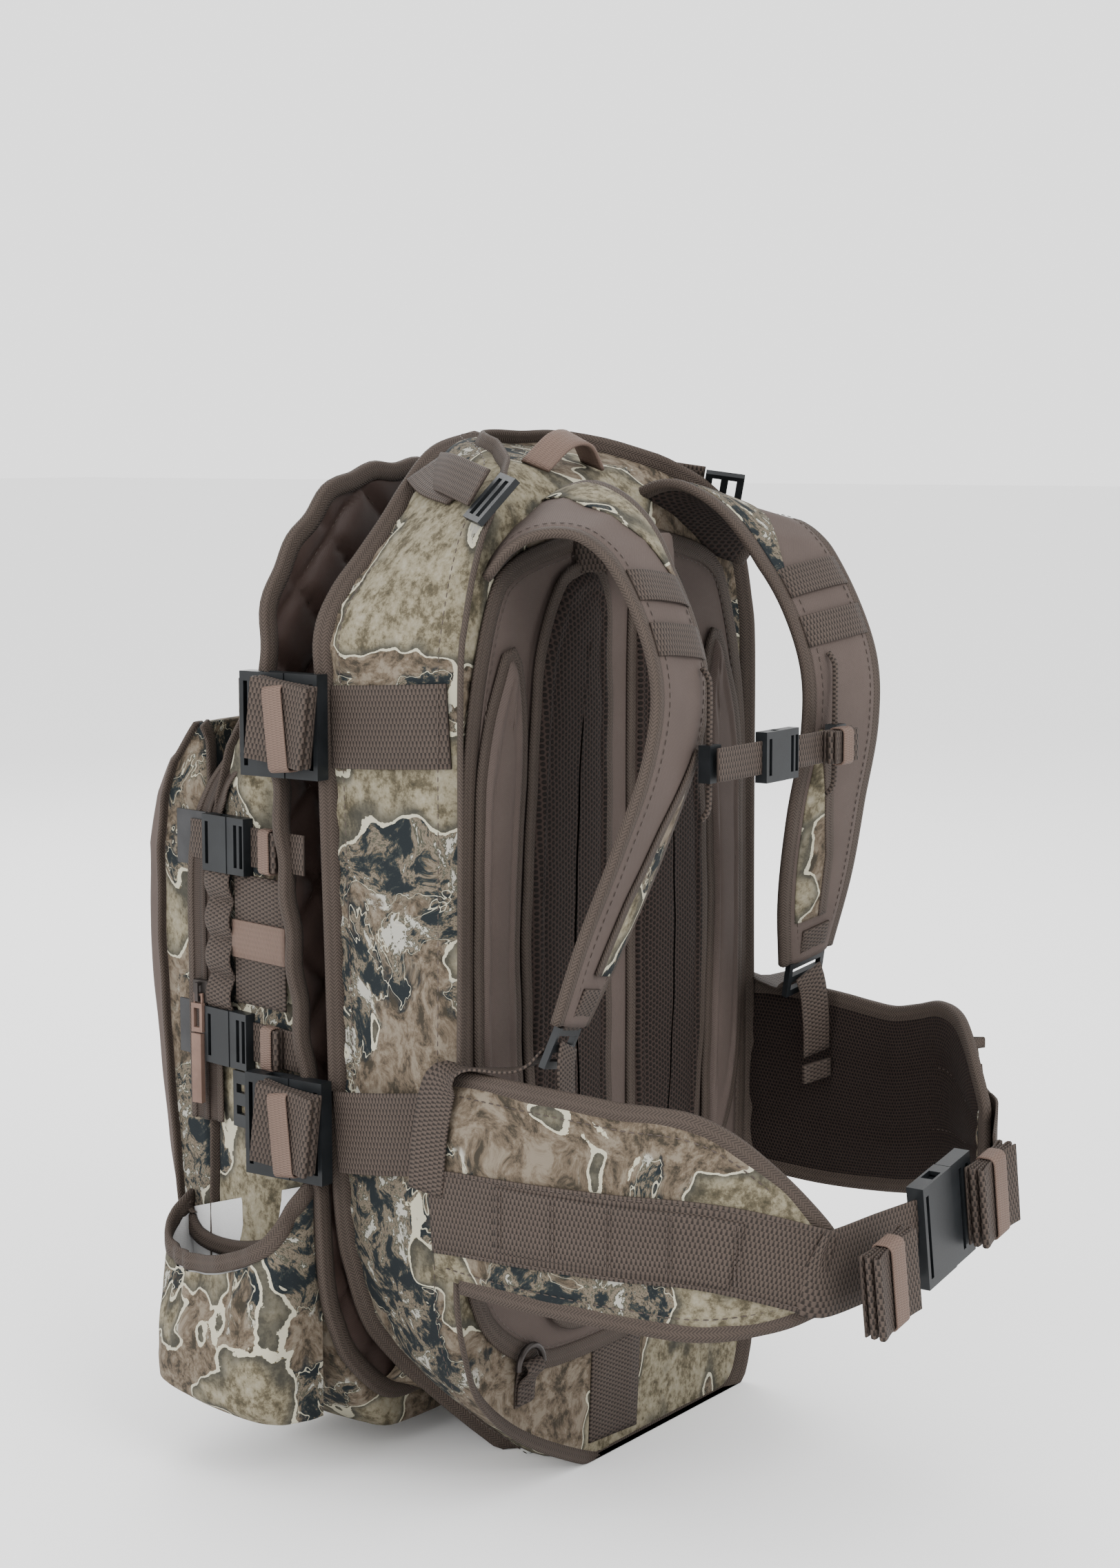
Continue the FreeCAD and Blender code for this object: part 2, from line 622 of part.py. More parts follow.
# ---------------------------------------------------------------- zips
zip_width = 24.0
zip_thickness = 2.4
zip_foot = pack_height * 0.33
zip_y = outer_front + main_depth * 0.96
zip_straight_top = pack_height * 0.60
slider_length = 14.0
slider_width = 12.0
slider_thickness = 5.0
slider_z = lower_molle_z + narrow_buckle.width / 2 + 1.5 + slider_length / 2
slider_travel = upper_molle_z - narrow_buckle.width / 2 - 1.5 - slider_length / 2 - slider_z
pull_length = 70.0


def zip_track(y, offset, foot, top, stations):
    """Zip up one side, over the top and down the other."""
    lift = gap + zip_thickness / 2 + offset
    side = [V(outer_side_x(y) + lift, y, foot), V(outer_side_x(y) + lift, y, top)]
    side += [V(outer_side_x(y) + lift - inward, y - forward, top + rise)
             for inward, forward, rise in stations]
    across = [V(-taper, 1, 0)] * 2 + [V(0, 1, -0.5)] * len(stations)
    half = ribbon(side, across, zip_width, zip_thickness)
    return both_sides(half)


main_zip = zip_track(zip_y, 0.0, zip_foot, zip_straight_top,
                     [(2.0, 8.0, 38.0), (8.0, 26.0, 66.0), (28.0, 40.0, 90.0), (60.0, 44.0, 101.0),
                      (120.0, 46.0, 104.0)])
parts["main_zip"] = clear_of(main_zip, main_solid, pocket_solid, parts["small_sockets"],
                             parts["rubber_patches"], parts["side_webbing"])


def zip_slider():
    """Slider over the zip on the right side, with the pull that hangs from it."""
    x = outer_side_x(zip_y) + gap + zip_thickness + moving_gap + 1.2
    z = slider_z
    x_outer = x + slider_thickness
    body = box(x, x_outer, zip_y - slider_width / 2, zip_y + slider_width / 2,
               z - slider_length / 2, z + slider_length / 2)
    bridge = box(x_outer, x_outer + 4.0, zip_y - 1.5, zip_y + 1.5,
                 z - slider_length / 2 + 1, z + slider_length / 2 - 1)
    hole = box(x_outer + 0.2, x_outer + 2.6, zip_y - 3, zip_y + 3,
               z - slider_length / 2 + 3, z + slider_length / 2 - 3)
    body = body.fuse(bridge.cut(hole)).removeSplitter()
    pivot_x = x_outer + 1.4
    top = z + slider_length / 2 - 9.0                 # height of the pull's pivot
    frame = box(pivot_x - 0.8, pivot_x + 2.2, zip_y - 4.5, zip_y + 4.5, top - 24.0, top - 5.4)
    frame = frame.cut(box(pivot_x - 2, pivot_x + 4, zip_y - 2.4, zip_y + 2.4, top - 21.0, top - 8.4))
    tongue = box(pivot_x - 0.6, pivot_x + 3.0, zip_y - 4.0, zip_y + 4.0, top - pull_length, top - 25.0)
    pin = rod(V(pivot_x, zip_y - 3.4, top), V(pivot_x, zip_y + 3.4, top), 0.8)
    arms = [box(pivot_x - 0.8, pivot_x + 0.8, y0, y0 + 1.2, top - 6.0, top + 1.0)
            for y0 in (zip_y - 3.6, zip_y + 2.4)]
    link = frame.fuse([pin] + arms).removeSplitter()
    return body, group([link, tongue]), V(pivot_x, zip_y, top)


slider_body, slider_pull, slider_pivot = zip_slider()
parts["zip_slider_right"] = slider_body
parts["zip_slider_left"] = mirrored(slider_body)
parts["zip_pull_right"] = slider_pull
parts["zip_pull_left"] = mirrored(slider_pull)

# ---------------------------------------------------------------- belt
belt_top = pack_height * 0.424
belt_bottom = pack_height * 0.242
belt_front_y = back_plane - belt_reach + 8.0
belt_side_x = half_width + gap + belt_thickness / 2 + 1.0
tip_x = half_width * 0.62


def belt_wing(tip_rise):
    """Right wing of the belt; tip_rise lifts its front end."""
    root_y = back_plane + 6.0
    path = [V(belt_side_x, root_y, 0), V(belt_side_x + 1.0, back_plane - 14.0, 0),
            V(belt_side_x + 1.0, back_plane - belt_reach * 0.28, 0),
            V(belt_side_x - 6.0, back_plane - belt_reach * 0.53, 0),
            V(belt_side_x - 24.0, back_plane - belt_reach * 0.76, 0),
            V(tip_x, belt_front_y, 0)]
    tops = [belt_top, belt_top + 2, belt_top, belt_top - 4, belt_top - 12 + tip_rise * 0.5,
            belt_top - 66 + tip_rise]
    feet = [belt_bottom, belt_bottom - 2, belt_bottom - 4, belt_bottom - 6 + tip_rise * 0.2,
            belt_bottom - 8 + tip_rise * 0.6, belt_bottom + tip_rise]
    middles = [V(p.x, p.y, (t + f) / 2) for p, t, f in zip(path, tops, feet)]
    heights = [t - f for t, f in zip(tops, feet)]
    level = []
    last = len(path) - 1
    for i in range(len(path)):
        along = path[min(i + 1, last)] - path[max(i - 1, 0)]
        level.append(along.cross(V(0, 0, 1)))
    wires = []
    for middle, height, normal in zip(middles, heights, level):
        normal.normalize()
        out = normal * (belt_thickness / 2)
        up = V(0, 0, height / 2)
        ring = [middle - out - up, middle + out - up, middle + out + up, middle - out + up]
        wires.append(rounded_wire(ring, 4.0))
    return loft(wires), middles


wing_right, right_middles = belt_wing(34.0)
wing_left_half, left_middles = belt_wing(0.0)
belt_wing_right = clear_of(wing_right, harness_solid)
belt_wing_left = mirrored(clear_of(wing_left_half, harness_solid))
parts["belt_wing_left"] = belt_wing_left
parts["belt_wing_right"] = belt_wing_right

# buckle line at the front of the belt, rising a little from left to right
buckle_rise = 10.0
buckle_y = belt_front_y - belt_thickness / 2 - wide_buckle.thickness / 2 - 12.0
buckle_z = belt_bottom + 35.0
buckle_way = V(math.cos(math.radians(buckle_rise)), 0, math.sin(math.radians(buckle_rise)))
mouth = V(4.0, buckle_y, buckle_z)
buckle_travel = 36.0
waist_plug = placed(wide_buckle.plug_half(), mouth, buckle_way, V(0, 1, 0))
waist_socket = placed(wide_buckle.socket_half(), mouth, buckle_way, V(0, 1, 0))
socket_end = mouth - buckle_way * (wide_buckle.socket + 1.0)
plug_end = mouth + buckle_way * (wide_buckle.body + buckle_travel + 6.0)
left_tip = V(-left_middles[-1].x, left_middles[-1].y, left_middles[-1].z)
right_tip = right_middles[-1]
web_up = V(-math.sin(math.radians(buckle_rise)), 0, math.cos(math.radians(buckle_rise)))
off_tip = V(0, -(belt_thickness / 2 + web_thickness + gap), 0)
web_left = ribbon([left_tip + off_tip + V(-18, 9, 0), left_tip + off_tip + V(6, -3, 0), socket_end],
                  V(0, 0, 1), wide_web, web_thickness)
web_right = ribbon([right_tip + off_tip + V(18, 9, 0), right_tip + off_tip + V(-2, -3, 0), plug_end],
                   V(0, 0, 1), wide_web, web_thickness)
fold_drop = V(0, -(wide_buckle.thickness / 2 + fold_thickness / 2 + keeper_thickness + 1.0), 0)
left_fold_start = socket_end + fold_drop + buckle_way * -78.0
waist_tail_left = placed(folded_tail(44.0, wide_web), left_fold_start, buckle_way, V(0, 1, 0))
waist_keeper_left = placed(keeper_band(wide_web, fold_thickness, 26.0),
                           left_fold_start + buckle_way * 9.0, buckle_way, V(0, 1, 0))
right_fold_start = mouth + buckle_way * (wide_buckle.body * 0.6) + fold_drop
waist_tail_right = placed(folded_tail(44.0, wide_web), right_fold_start, buckle_way, V(0, 1, 0))
waist_keeper_right = placed(keeper_band(wide_web, fold_thickness, 26.0),
                            right_fold_start + buckle_way * 9.0, buckle_way, V(0, 1, 0))
wings = group([belt_wing_left, belt_wing_right])
waist_webs = clear_of(group([web_left, web_right]), wings, waist_socket)
parts["waist_webs"] = group([waist_webs, waist_tail_left, waist_keeper_left])
parts["waist_socket"] = waist_socket
parts["waist_plug"] = waist_plug
parts["waist_tail_right"] = waist_tail_right
parts["waist_keeper_right"] = waist_keeper_right

pouch_thickness = 20.0
pouch_height = 78.0
pouch_path = [right_middles[3], right_middles[4]]
pouch_way = pouch_path[1] - pouch_path[0]
pouch_out = pouch_way.cross(V(0, 0, 1))
pouch_out.normalize()
if pouch_out.x < 0:
    pouch_out = pouch_out * -1
pouch_middle = pouch_path[0] * 0.5 + pouch_path[1] * 0.5
pouch_middle += pouch_out * (belt_thickness / 2 + gap + web_thickness + 2.0 + pouch_thickness / 2)
pouch_length = 58.0
pouch = Part.makeBox(pouch_length, pouch_thickness, pouch_height,
                     V(-pouch_length / 2, -pouch_thickness / 2, -pouch_height / 2))
pouch = pouch.makeFillet(6.0, pouch.Edges)
pouch = placed(pouch, pouch_middle, V(pouch_way.x, pouch_way.y, 0), pouch_out)
parts["belt_pouch"] = clear_of(pouch, wings)

# ---------------------------------------------------------------- shoulder hardware
lift = strap_thickness / 2
end_point, end_out, end_along = strap_frame(len(strap_path) - 1, 0.0)
shoulder_lock = placed(ladder_lock(narrow_web), end_point + end_along * 2.0, end_along, end_out)
lock_length = 0.42 * narrow_web + 15.0
lock_pivot = end_point + end_along * 4.0
anchor = V(belt_side_x + belt_thickness / 2 + web_thickness + gap, back_plane + 2.0, belt_bottom + 50.0)
over_belt = V(anchor.x, anchor.y - 12.0, belt_top + 6.0)
strand_start = end_point + end_along * (lock_length * 0.7 + 4.0) - end_out * 9.0
strand_middle = strand_start * 0.45 + over_belt * 0.55 + V(1.0, -4.0, 0)
strand = ribbon([strand_start, strand_middle, over_belt, anchor],
                [strap_across, V(0.7, -0.7, 0), V(0, -1, 0.2), V(0, -1, 0.2)], narrow_web, web_thickness)
hang_start = end_point + end_along * (lock_length * 0.5) + end_out * 5.0
hang = ribbon([hang_start, hang_start + V(3.0, -4.0, -34.0), hang_start + V(8.0, -2.0, -68.0)],
              strap_across, narrow_web, web_thickness)
harness_keep = (harness_solid, belt_wing_right, back_panel)
strand = clear_of(strand, *harness_keep)
parts["ladder_lock_right"] = shoulder_lock
parts["ladder_lock_left"] = mirrored(shoulder_lock)
parts["lock_tail_right"] = hang
parts["lock_tail_left"] = mirrored(hang)
parts["shoulder_webs"] = both_sides(strand)

# load lifters run from the straps' shoulders up to the top of the harness body
lifter_top = V(harness_slot_width(pack_height * 0.965) + 2.0, back_plane + harness_depth * 0.90,
               pack_height * 0.968)
lifter_foot = V(harness_back_width(pack_height * 0.935, 1) - 6.0, back_plane + harness_depth * 0.10,
                pack_height * 0.948)
lifter_way = lifter_foot - lifter_top
lifter_across = V(0.55, 0, -0.83)
lifter_normal = V(0.83, 0, 0.55)
lifter_top += lifter_normal * 3.0
lifter_foot += lifter_normal * 5.0
lifter = ribbon([lifter_top, lifter_foot], lifter_across, narrow_web, web_thickness)
lifter_lock = placed(ladder_lock(narrow_web), lifter_foot + lifter_way * 0.02, lifter_way,
                     lifter_normal)
solid_top = (harness_solid, shoulder_strap_right)
parts["load_lifters"] = both_sides(clear_of(lifter, lifter_lock, *solid_top))
parts["lifter_locks"] = both_sides(clear_of(lifter_lock, *solid_top))


def loop(centre, length, rise, width, thickness, out):
    """Band of webbing that stands out from a face, its feet along x."""
    half = length / 2
    path = [centre + V(-half - 8, 0, 0), centre + V(-half, 0, 0) + out * (rise * 0.3),
            centre + V(-half * 0.6, 0, 0) + out * rise, centre + V(half * 0.6, 0, 0) + out * rise,
            centre + V(half, 0, 0) + out * (rise * 0.3), centre + V(half + 8, 0, 0)]
    return ribbon(path, out.cross(V(1, 0, 0)), width, thickness)


haul_rise = 15.0
haul_centre = V(-18.0, back_plane + harness_depth * 0.20, pack_height * 0.983)
haul_loop = loop(haul_centre, 44.0, haul_rise, narrow_web * 0.8, 2.4, V(0, -0.42, 0.91))
handle_centre = V(0, back_plane - 5.5, pack_height * 0.893)
grab_handle = loop(handle_centre, 76.0, 26.0, narrow_web * 0.8, 2.4, V(0, -1, 0.1))
parts["haul_loop"] = clear_of(haul_loop, harness_solid, slot_liner)
parts["grab_handle"] = clear_of(grab_handle, harness_solid, back_panel, mesh_pad_left, mesh_pad_right,
                                shoulder_strap_left, shoulder_strap_right)

# ---------------------------------------------------------------- sternum strap and its rails
rail_radius = 1.8
rail_low = pack_height * 0.675
rail_high = pack_height * 0.785
rail_x = strap_path[4].x - strap_width * 0.30
rail_y = strap_path[4].y - lift - 3.5
rail = rod(V(rail_x, rail_y, rail_low), V(rail_x, rail_y, rail_high), rail_radius)
rail_ends = [box(rail_x - 4, rail_x + 4, rail_y - 2.5, strap_path[4].y + 2, z - 3, z + 3)
             for z in (rail_low - 3.2, rail_high + 3.2)]
rail_ends = clear_of(group(rail_ends), shoulder_strap_right, rail)
parts["chest_rails"] = both_sides(group([rail, rail_ends]))
chest_z = pack_height * 0.713
chest_slider_block = box(rail_x - 6, rail_x + 6, rail_y - 4.5, rail_y + 3.6, chest_z - 11, chest_z + 11)
chest_slider_block = chest_slider_block.cut(
    rod(V(rail_x, rail_y, chest_z - 12), V(rail_x, rail_y, chest_z + 12), rail_radius + 0.4))
parts["chest_sliders"] = both_sides(chest_slider_block)
chest_y = rail_y - 4.5 - gap - chest_buckle.thickness / 2
chest_mouth = V(-8.0, chest_y, chest_z)
chest_travel = 22.0
chest_plug = placed(chest_buckle.plug_half(), chest_mouth, V(1, 0, 0), V(0, 1, 0))
chest_socket = placed(chest_buckle.socket_half(), chest_mouth, V(1, 0, 0), V(0, 1, 0))
chest_left = ribbon([V(-rail_x - 5, chest_y, chest_z), V(-8.0 - chest_buckle.socket - 1, chest_y, chest_z)],
                    V(0, 0, 1), chest_web, web_thickness)
chest_right = ribbon([V(-8.0 + chest_buckle.body + chest_travel + 2, chest_y, chest_z),
                      V(rail_x + 5, chest_y, chest_z)], V(0, 0, 1), chest_web, web_thickness)
chest_tail = placed(folded_tail(30.0, chest_web, 7.0),
                    V(rail_x - 34.0, chest_y - 6.0, chest_z), V(1, 0, 0), V(0, 1, 0))
chest_keeper = placed(keeper_band(chest_web, 7.0, 12.0),
                      V(rail_x - 24.0, chest_y - 6.0, chest_z), V(1, 0, 0), V(0, 1, 0))
parts["chest_webs"] = clear_of(group([chest_left, chest_right]), parts["chest_sliders"], chest_keeper)
parts["chest_socket"] = chest_socket
parts["chest_plug"] = chest_plug
parts["chest_tail"] = chest_tail
parts["chest_keeper"] = chest_keeper

# ---------------------------------------------------------------- D-rings and the lower back
ring_radius = 13.0
ring_wire = 2.0
ring_x = half_width * 0.60
ring_z = pack_height * 0.128
ring_y = back_plane - panel_thickness - ring_wire - 3.0


def d_ring(x):
    centre = V(x, ring_y, ring_z)
    arc = Part.makeTorus(ring_radius, ring_wire, centre, V(0, 1, 0), -180, 180, 180)
    arc.rotate(centre, V(0, 1, 0), 270)
    bar = rod(centre - V(ring_radius, 0, 0), centre + V(ring_radius, 0, 0), ring_wire * 0.98)
    return arc.fuse(bar)


tab_width = 18.0
tab_outside = ring_wire + 1.4 + 1.2


def ring_tab(x):
    """Webbing folded round the ring's bar and sewn to the lower back."""
    tube = rod(V(x - tab_width / 2, ring_y, ring_z), V(x + tab_width / 2, ring_y, ring_z), tab_outside)
    bore = rod(V(x - tab_width, ring_y, ring_z), V(x + tab_width, ring_y, ring_z), ring_wire + 1.2)
    sewn = box(x - tab_width / 2, x + tab_width / 2, ring_y + ring_wire, back_plane - gap,
               ring_z - 26.0, ring_z + 2.0)
    return tube.fuse(sewn).removeSplitter().cut(bore)


ring_right = d_ring(ring_x)
parts["d_ring_right"] = ring_right
parts["d_ring_left"] = mirrored(ring_right)
ring_tabs = both_sides(clear_of(ring_tab(ring_x), back_panel))
lower_strip = ribbon([V(0, back_plane - gap - web_thickness / 2, pack_height * 0.012),
                      V(0, back_plane - gap - web_thickness / 2, pack_height * 0.112)],
                     V(1, 0, 0), wide_web + 5.0, web_thickness)
parts["lower_webbing"] = group([ring_tabs, lower_strip])


# ---------------------------------------------------------------- origin and files
everything = Part.makeCompound(list(parts.values()))
limits = everything.BoundBox
origin = V((limits.XMin + limits.XMax) / 2, (limits.YMin + limits.YMax) / 2, limits.ZMin)
os.makedirs("parts", exist_ok=True)
for name, shape in parts.items():
    moved = shape.copy()
    moved.translate(origin * -1)
    moved.exportStep("parts/" + name + ".step")
print(len(parts), "nodes, box", [round(v, 1) for v in (limits.XLength, limits.YLength, limits.ZLength)],
      "origin", [round(v, 1) for v in origin])
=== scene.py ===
# %% [markdown]
# # A bow-carrying backpack, piece by piece
# The pack is a harness body that rests on the wearer's back, a lined slot that a bow slides into,
# and an outer module with pockets. The hard facts, such as where every buckle sits and how it
# moves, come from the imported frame. This lesson adds what a maker adds: cloth, webbing, binding
# tape, stitching and moulded plastic.

# %% Load the frame and keep its box
import bpy, json, math
import numpy as np
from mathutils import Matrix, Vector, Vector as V

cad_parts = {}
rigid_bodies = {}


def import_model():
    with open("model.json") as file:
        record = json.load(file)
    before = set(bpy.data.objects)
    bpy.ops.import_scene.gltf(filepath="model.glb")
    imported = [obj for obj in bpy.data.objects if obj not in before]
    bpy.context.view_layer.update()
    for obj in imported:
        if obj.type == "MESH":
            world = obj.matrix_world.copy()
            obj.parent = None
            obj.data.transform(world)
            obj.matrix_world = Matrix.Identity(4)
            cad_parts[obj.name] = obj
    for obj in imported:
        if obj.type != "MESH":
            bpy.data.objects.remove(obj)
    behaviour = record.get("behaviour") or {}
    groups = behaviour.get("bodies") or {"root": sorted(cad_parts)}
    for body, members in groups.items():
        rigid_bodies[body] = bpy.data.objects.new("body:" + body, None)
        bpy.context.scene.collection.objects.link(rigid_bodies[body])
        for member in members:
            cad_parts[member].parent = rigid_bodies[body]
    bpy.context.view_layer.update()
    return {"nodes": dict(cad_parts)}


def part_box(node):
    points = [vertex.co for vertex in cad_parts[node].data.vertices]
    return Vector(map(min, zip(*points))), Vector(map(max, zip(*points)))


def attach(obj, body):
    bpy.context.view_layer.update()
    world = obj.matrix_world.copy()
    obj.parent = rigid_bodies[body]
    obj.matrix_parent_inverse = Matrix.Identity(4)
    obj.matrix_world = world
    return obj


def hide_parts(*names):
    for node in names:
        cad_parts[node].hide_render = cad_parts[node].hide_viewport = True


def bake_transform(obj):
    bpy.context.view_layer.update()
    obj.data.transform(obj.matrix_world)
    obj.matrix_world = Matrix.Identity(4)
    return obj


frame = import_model()

# %% [markdown]
# ## Measuring from the frame
# A maker works in millimetres from two datum planes: the floor, and the flat back panel. The
# frame is in metres about the middle of the whole pack, so `at` turns a maker's point into the
# frame's, and every later size is a share of the harness body's own height, width or depth.

# %% The maker's datum and the harness body's sizes
mm = 0.001
shell_low, shell_high = (V(corner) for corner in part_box("harness_shell"))
back_plane = -8.0
datum = np.array([0.0, shell_low.y / mm - back_plane, shell_low.z / mm])
height = (shell_high.z - shell_low.z) / mm
depth = (shell_high.y - shell_low.y) / mm
half_width = 163.0 * ((shell_high.x - shell_low.x) / mm) / 320.1


def at(points):
    """The maker's millimetres as metres in the frame."""
    return (np.asarray(points, float) + datum) * mm


def node_box(node):
    """Low and high corners of a frame node in the maker's millimetres."""
    low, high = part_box(node)
    return np.array(low) / mm - datum, np.array(high) / mm - datum


print("harness body", round(height), "high,", round(2 * half_width), "wide,", round(depth), "deep")

# %% [markdown]
# ## Camera
# The pack is seen from its left front corner, a little from above. A long lens keeps the
# perspective mild, as for a catalogue picture.

# %% Camera
camera = bpy.data.objects.new("camera", bpy.data.cameras.new("camera"))
bpy.context.collection.objects.link(camera)
bpy.context.scene.camera = camera
camera.data.lens = 63.2
camera.data.sensor_width = 36.0
camera.location = V(at((-1426.0, -967.8, 643.2)))
aim = V(at((-43.8, 0, 436.0)))
camera.rotation_euler = (aim - camera.location).to_track_quat("-Z", "Y").to_euler()

# %% [markdown]
# ## Light and floor
# Large soft lamps on both sides show cloth relief without hard shadows, and a pale floor bounces
# light up under the belt.

# %% Light and floor
floor_mesh = bpy.data.meshes.new("floor")
floor_mesh.from_pydata([(-40, -40, 0), (40, -40, 0), (40, 40, 0), (-40, 40, 0)], [], [(0, 1, 2, 3)])
floor = bpy.data.objects.new("floor", floor_mesh)
bpy.context.collection.objects.link(floor)


def area_light(name, place, power, size):
    data = bpy.data.lights.new(name, "AREA")
    data.energy = power
    data.size = size
    lamp = bpy.data.objects.new(name, data)
    lamp.location = place
    lamp.rotation_euler = (V((0, 0, 0.35)) - lamp.location).to_track_quat("-Z", "Y").to_euler()
    bpy.context.collection.objects.link(lamp)


area_light("key_light", V((-0.9, -2.6, 2.2)), 60, 1.4)
area_light("side_light", V((-2.9, 0.4, 1.5)), 60, 1.8)
area_light("back_light", V((1.8, 2.0, 2.2)), 45, 1.6)
world = bpy.data.worlds.new("soft_sky")
world.use_nodes = True
world.node_tree.nodes["Background"].inputs["Color"].default_value = (1, 1, 1, 1)
world.node_tree.nodes["Background"].inputs["Strength"].default_value = 2.0
bpy.context.scene.world = world
print("lamps placed:", len(bpy.data.lights))

# %% [markdown]
# ## Writing finishes as sums
# A cloth is a recipe: a colour that changes over the surface, and a height for its threads. Nodes
# could be wired one by one, but the recipe is easier to read as arithmetic. `Wire` wraps a
# socket so that + - * / and comparisons add Math nodes, and `Finish` is one material, whose
# `node` method adds any other node.

# %% Wire and Finish
class Wire:
    """A number made by shader nodes."""

    def __init__(self, finish, socket):
        self.finish = finish
        self.socket = socket

    def maths(self, operation, *others):
        values = {i: value for i, value in enumerate((self,) + others)}
        return self.finish.node("ShaderNodeMath", {"operation": operation}, values)

    def __add__(self, other): return self.maths("ADD", other)
    def __sub__(self, other): return self.maths("SUBTRACT", other)
    def __mul__(self, other): return self.maths("MULTIPLY", other)
    def __truediv__(self, other): return self.maths("DIVIDE", other)
    def __mod__(self, other): return self.maths("FLOORED_MODULO", other)
    def __gt__(self, other): return self.maths("GREATER_THAN", other)
    def __lt__(self, other): return self.maths("LESS_THAN", other)
    def __abs__(self): return self.maths("ABSOLUTE")
    def __rsub__(self, other): return self.finish.number(other).maths("SUBTRACT", self)
    __radd__ = __add__
    __rmul__ = __mul__

    def sine(self): return self.maths("SINE")
    def floor(self): return self.maths("FLOOR")
    def least(self, other): return self.maths("MINIMUM", other)
    def most(self, other): return self.maths("MAXIMUM", other)
    def power(self, other): return self.maths("POWER", other)

    def between(self, low, high):
        """0 below low, 1 above high, smooth between."""
        return self.finish.node("ShaderNodeMapRange", {"interpolation_type": "SMOOTHSTEP"},
                                {"Value": self, "From Min": low, "From Max": high})


class Finish:
    """One material: a Principled shader and the nodes that feed it."""

    def __init__(self, name, slot, roughness=0.85, **constants):
        self.slot = slot
        self.material = bpy.data.materials.new(name)
        self.material.use_nodes = True
        self.tree = self.material.node_tree
        self.shader = self.tree.nodes["Principled BSDF"]
        self.shader.inputs["Roughness"].default_value = roughness
        for socket, value in constants.items():
            self.shader.inputs[socket.replace("_", " ")].default_value = value

    def node(self, kind, settings=None, sockets=None, out=0):
        made = self.tree.nodes.new(kind)
        for key, value in (settings or {}).items():
            if key == "stops":
                elements = made.color_ramp.elements
                elements.remove(elements[1])
                elements[0].position = value[0][0]
                elements[0].color = (*value[0][1], 1)
                for place, colour in value[1:]:
                    elements.new(place).color = (*colour, 1)
            elif key == "blending":
                made.color_ramp.interpolation = value
            else:
                setattr(made, key, value)
        for key, value in (sockets or {}).items():
            if isinstance(value, Wire):
                self.tree.links.new(value.socket, made.inputs[key])
            elif isinstance(value, tuple) and len(value) == 3 and made.inputs[key].type == "RGBA":
                made.inputs[key].default_value = (*value, 1)
            else:
                made.inputs[key].default_value = value
        return Wire(self, made.outputs[out])

    def number(self, value):
        if isinstance(value, Wire):
            return value
        made = self.node("ShaderNodeValue")
        made.socket.default_value = value
        return made

    def noise(self, place, scale, detail=4.0, roughness=0.55, out="Fac"):
        return self.node("ShaderNodeTexNoise", None, {"Vector": place, "Scale": scale, "Detail": detail,
                                                      "Roughness": roughness}, out)

    def mix(self, mask, first, second):
        return self.node("ShaderNodeMix", {"data_type": "RGBA"}, {0: mask, 6: first, 7: second}, 2)

    def ramp(self, value, stops, blending="LINEAR"):
        return self.node("ShaderNodeValToRGB", {"stops": stops, "blending": blending}, {"Fac": value},
                         "Color")

    def object_place(self):
        return self.node("ShaderNodeTexCoord", out="Object")

    def cloth_place(self):
        """(along, across) in millimetres on the cloth, from its UV map in metres."""
        uv = self.node("ShaderNodeUVMap", {"uv_map": "cloth"})
        split = self.node("ShaderNodeSeparateXYZ", None, {0: uv})
        tree_node = split.socket.node
        return Wire(self, tree_node.outputs[0]) * 1000.0, Wire(self, tree_node.outputs[1]) * 1000.0

    def colour(self, wire):
        self.tree.links.new(wire.socket, self.shader.inputs["Base Color"])

    def relief(self, height_wire, strength, distance):
        bump = self.node("ShaderNodeBump", None, {"Height": height_wire, "Strength": strength,
                                                  "Distance": distance}, "Normal")
        self.tree.links.new(bump.socket, self.shader.inputs["Normal"])

    def rough(self, wire):
        self.tree.links.new(wire.socket, self.shader.inputs["Roughness"])


print("finish tools ready")

# %% [markdown]
# ## The printed camouflage
# The print is stone, lichen and bark: pale tan stone with olive speckle, ragged dark and white
# lichen, and cream outlines with a shadow on one side. A drawn image could carry it, but noise
# bands do it at any size: one slow noise is cut into regions, and its contour line is the cream
# edge. It is laid in the object's own space, so the print runs on unbroken round a curved bag.

# %% Camouflage
def shifted(finish, place, amount):
    return finish.node("ShaderNodeVectorMath", {"operation": "ADD"}, {0: place, 1: amount}, "Vector")


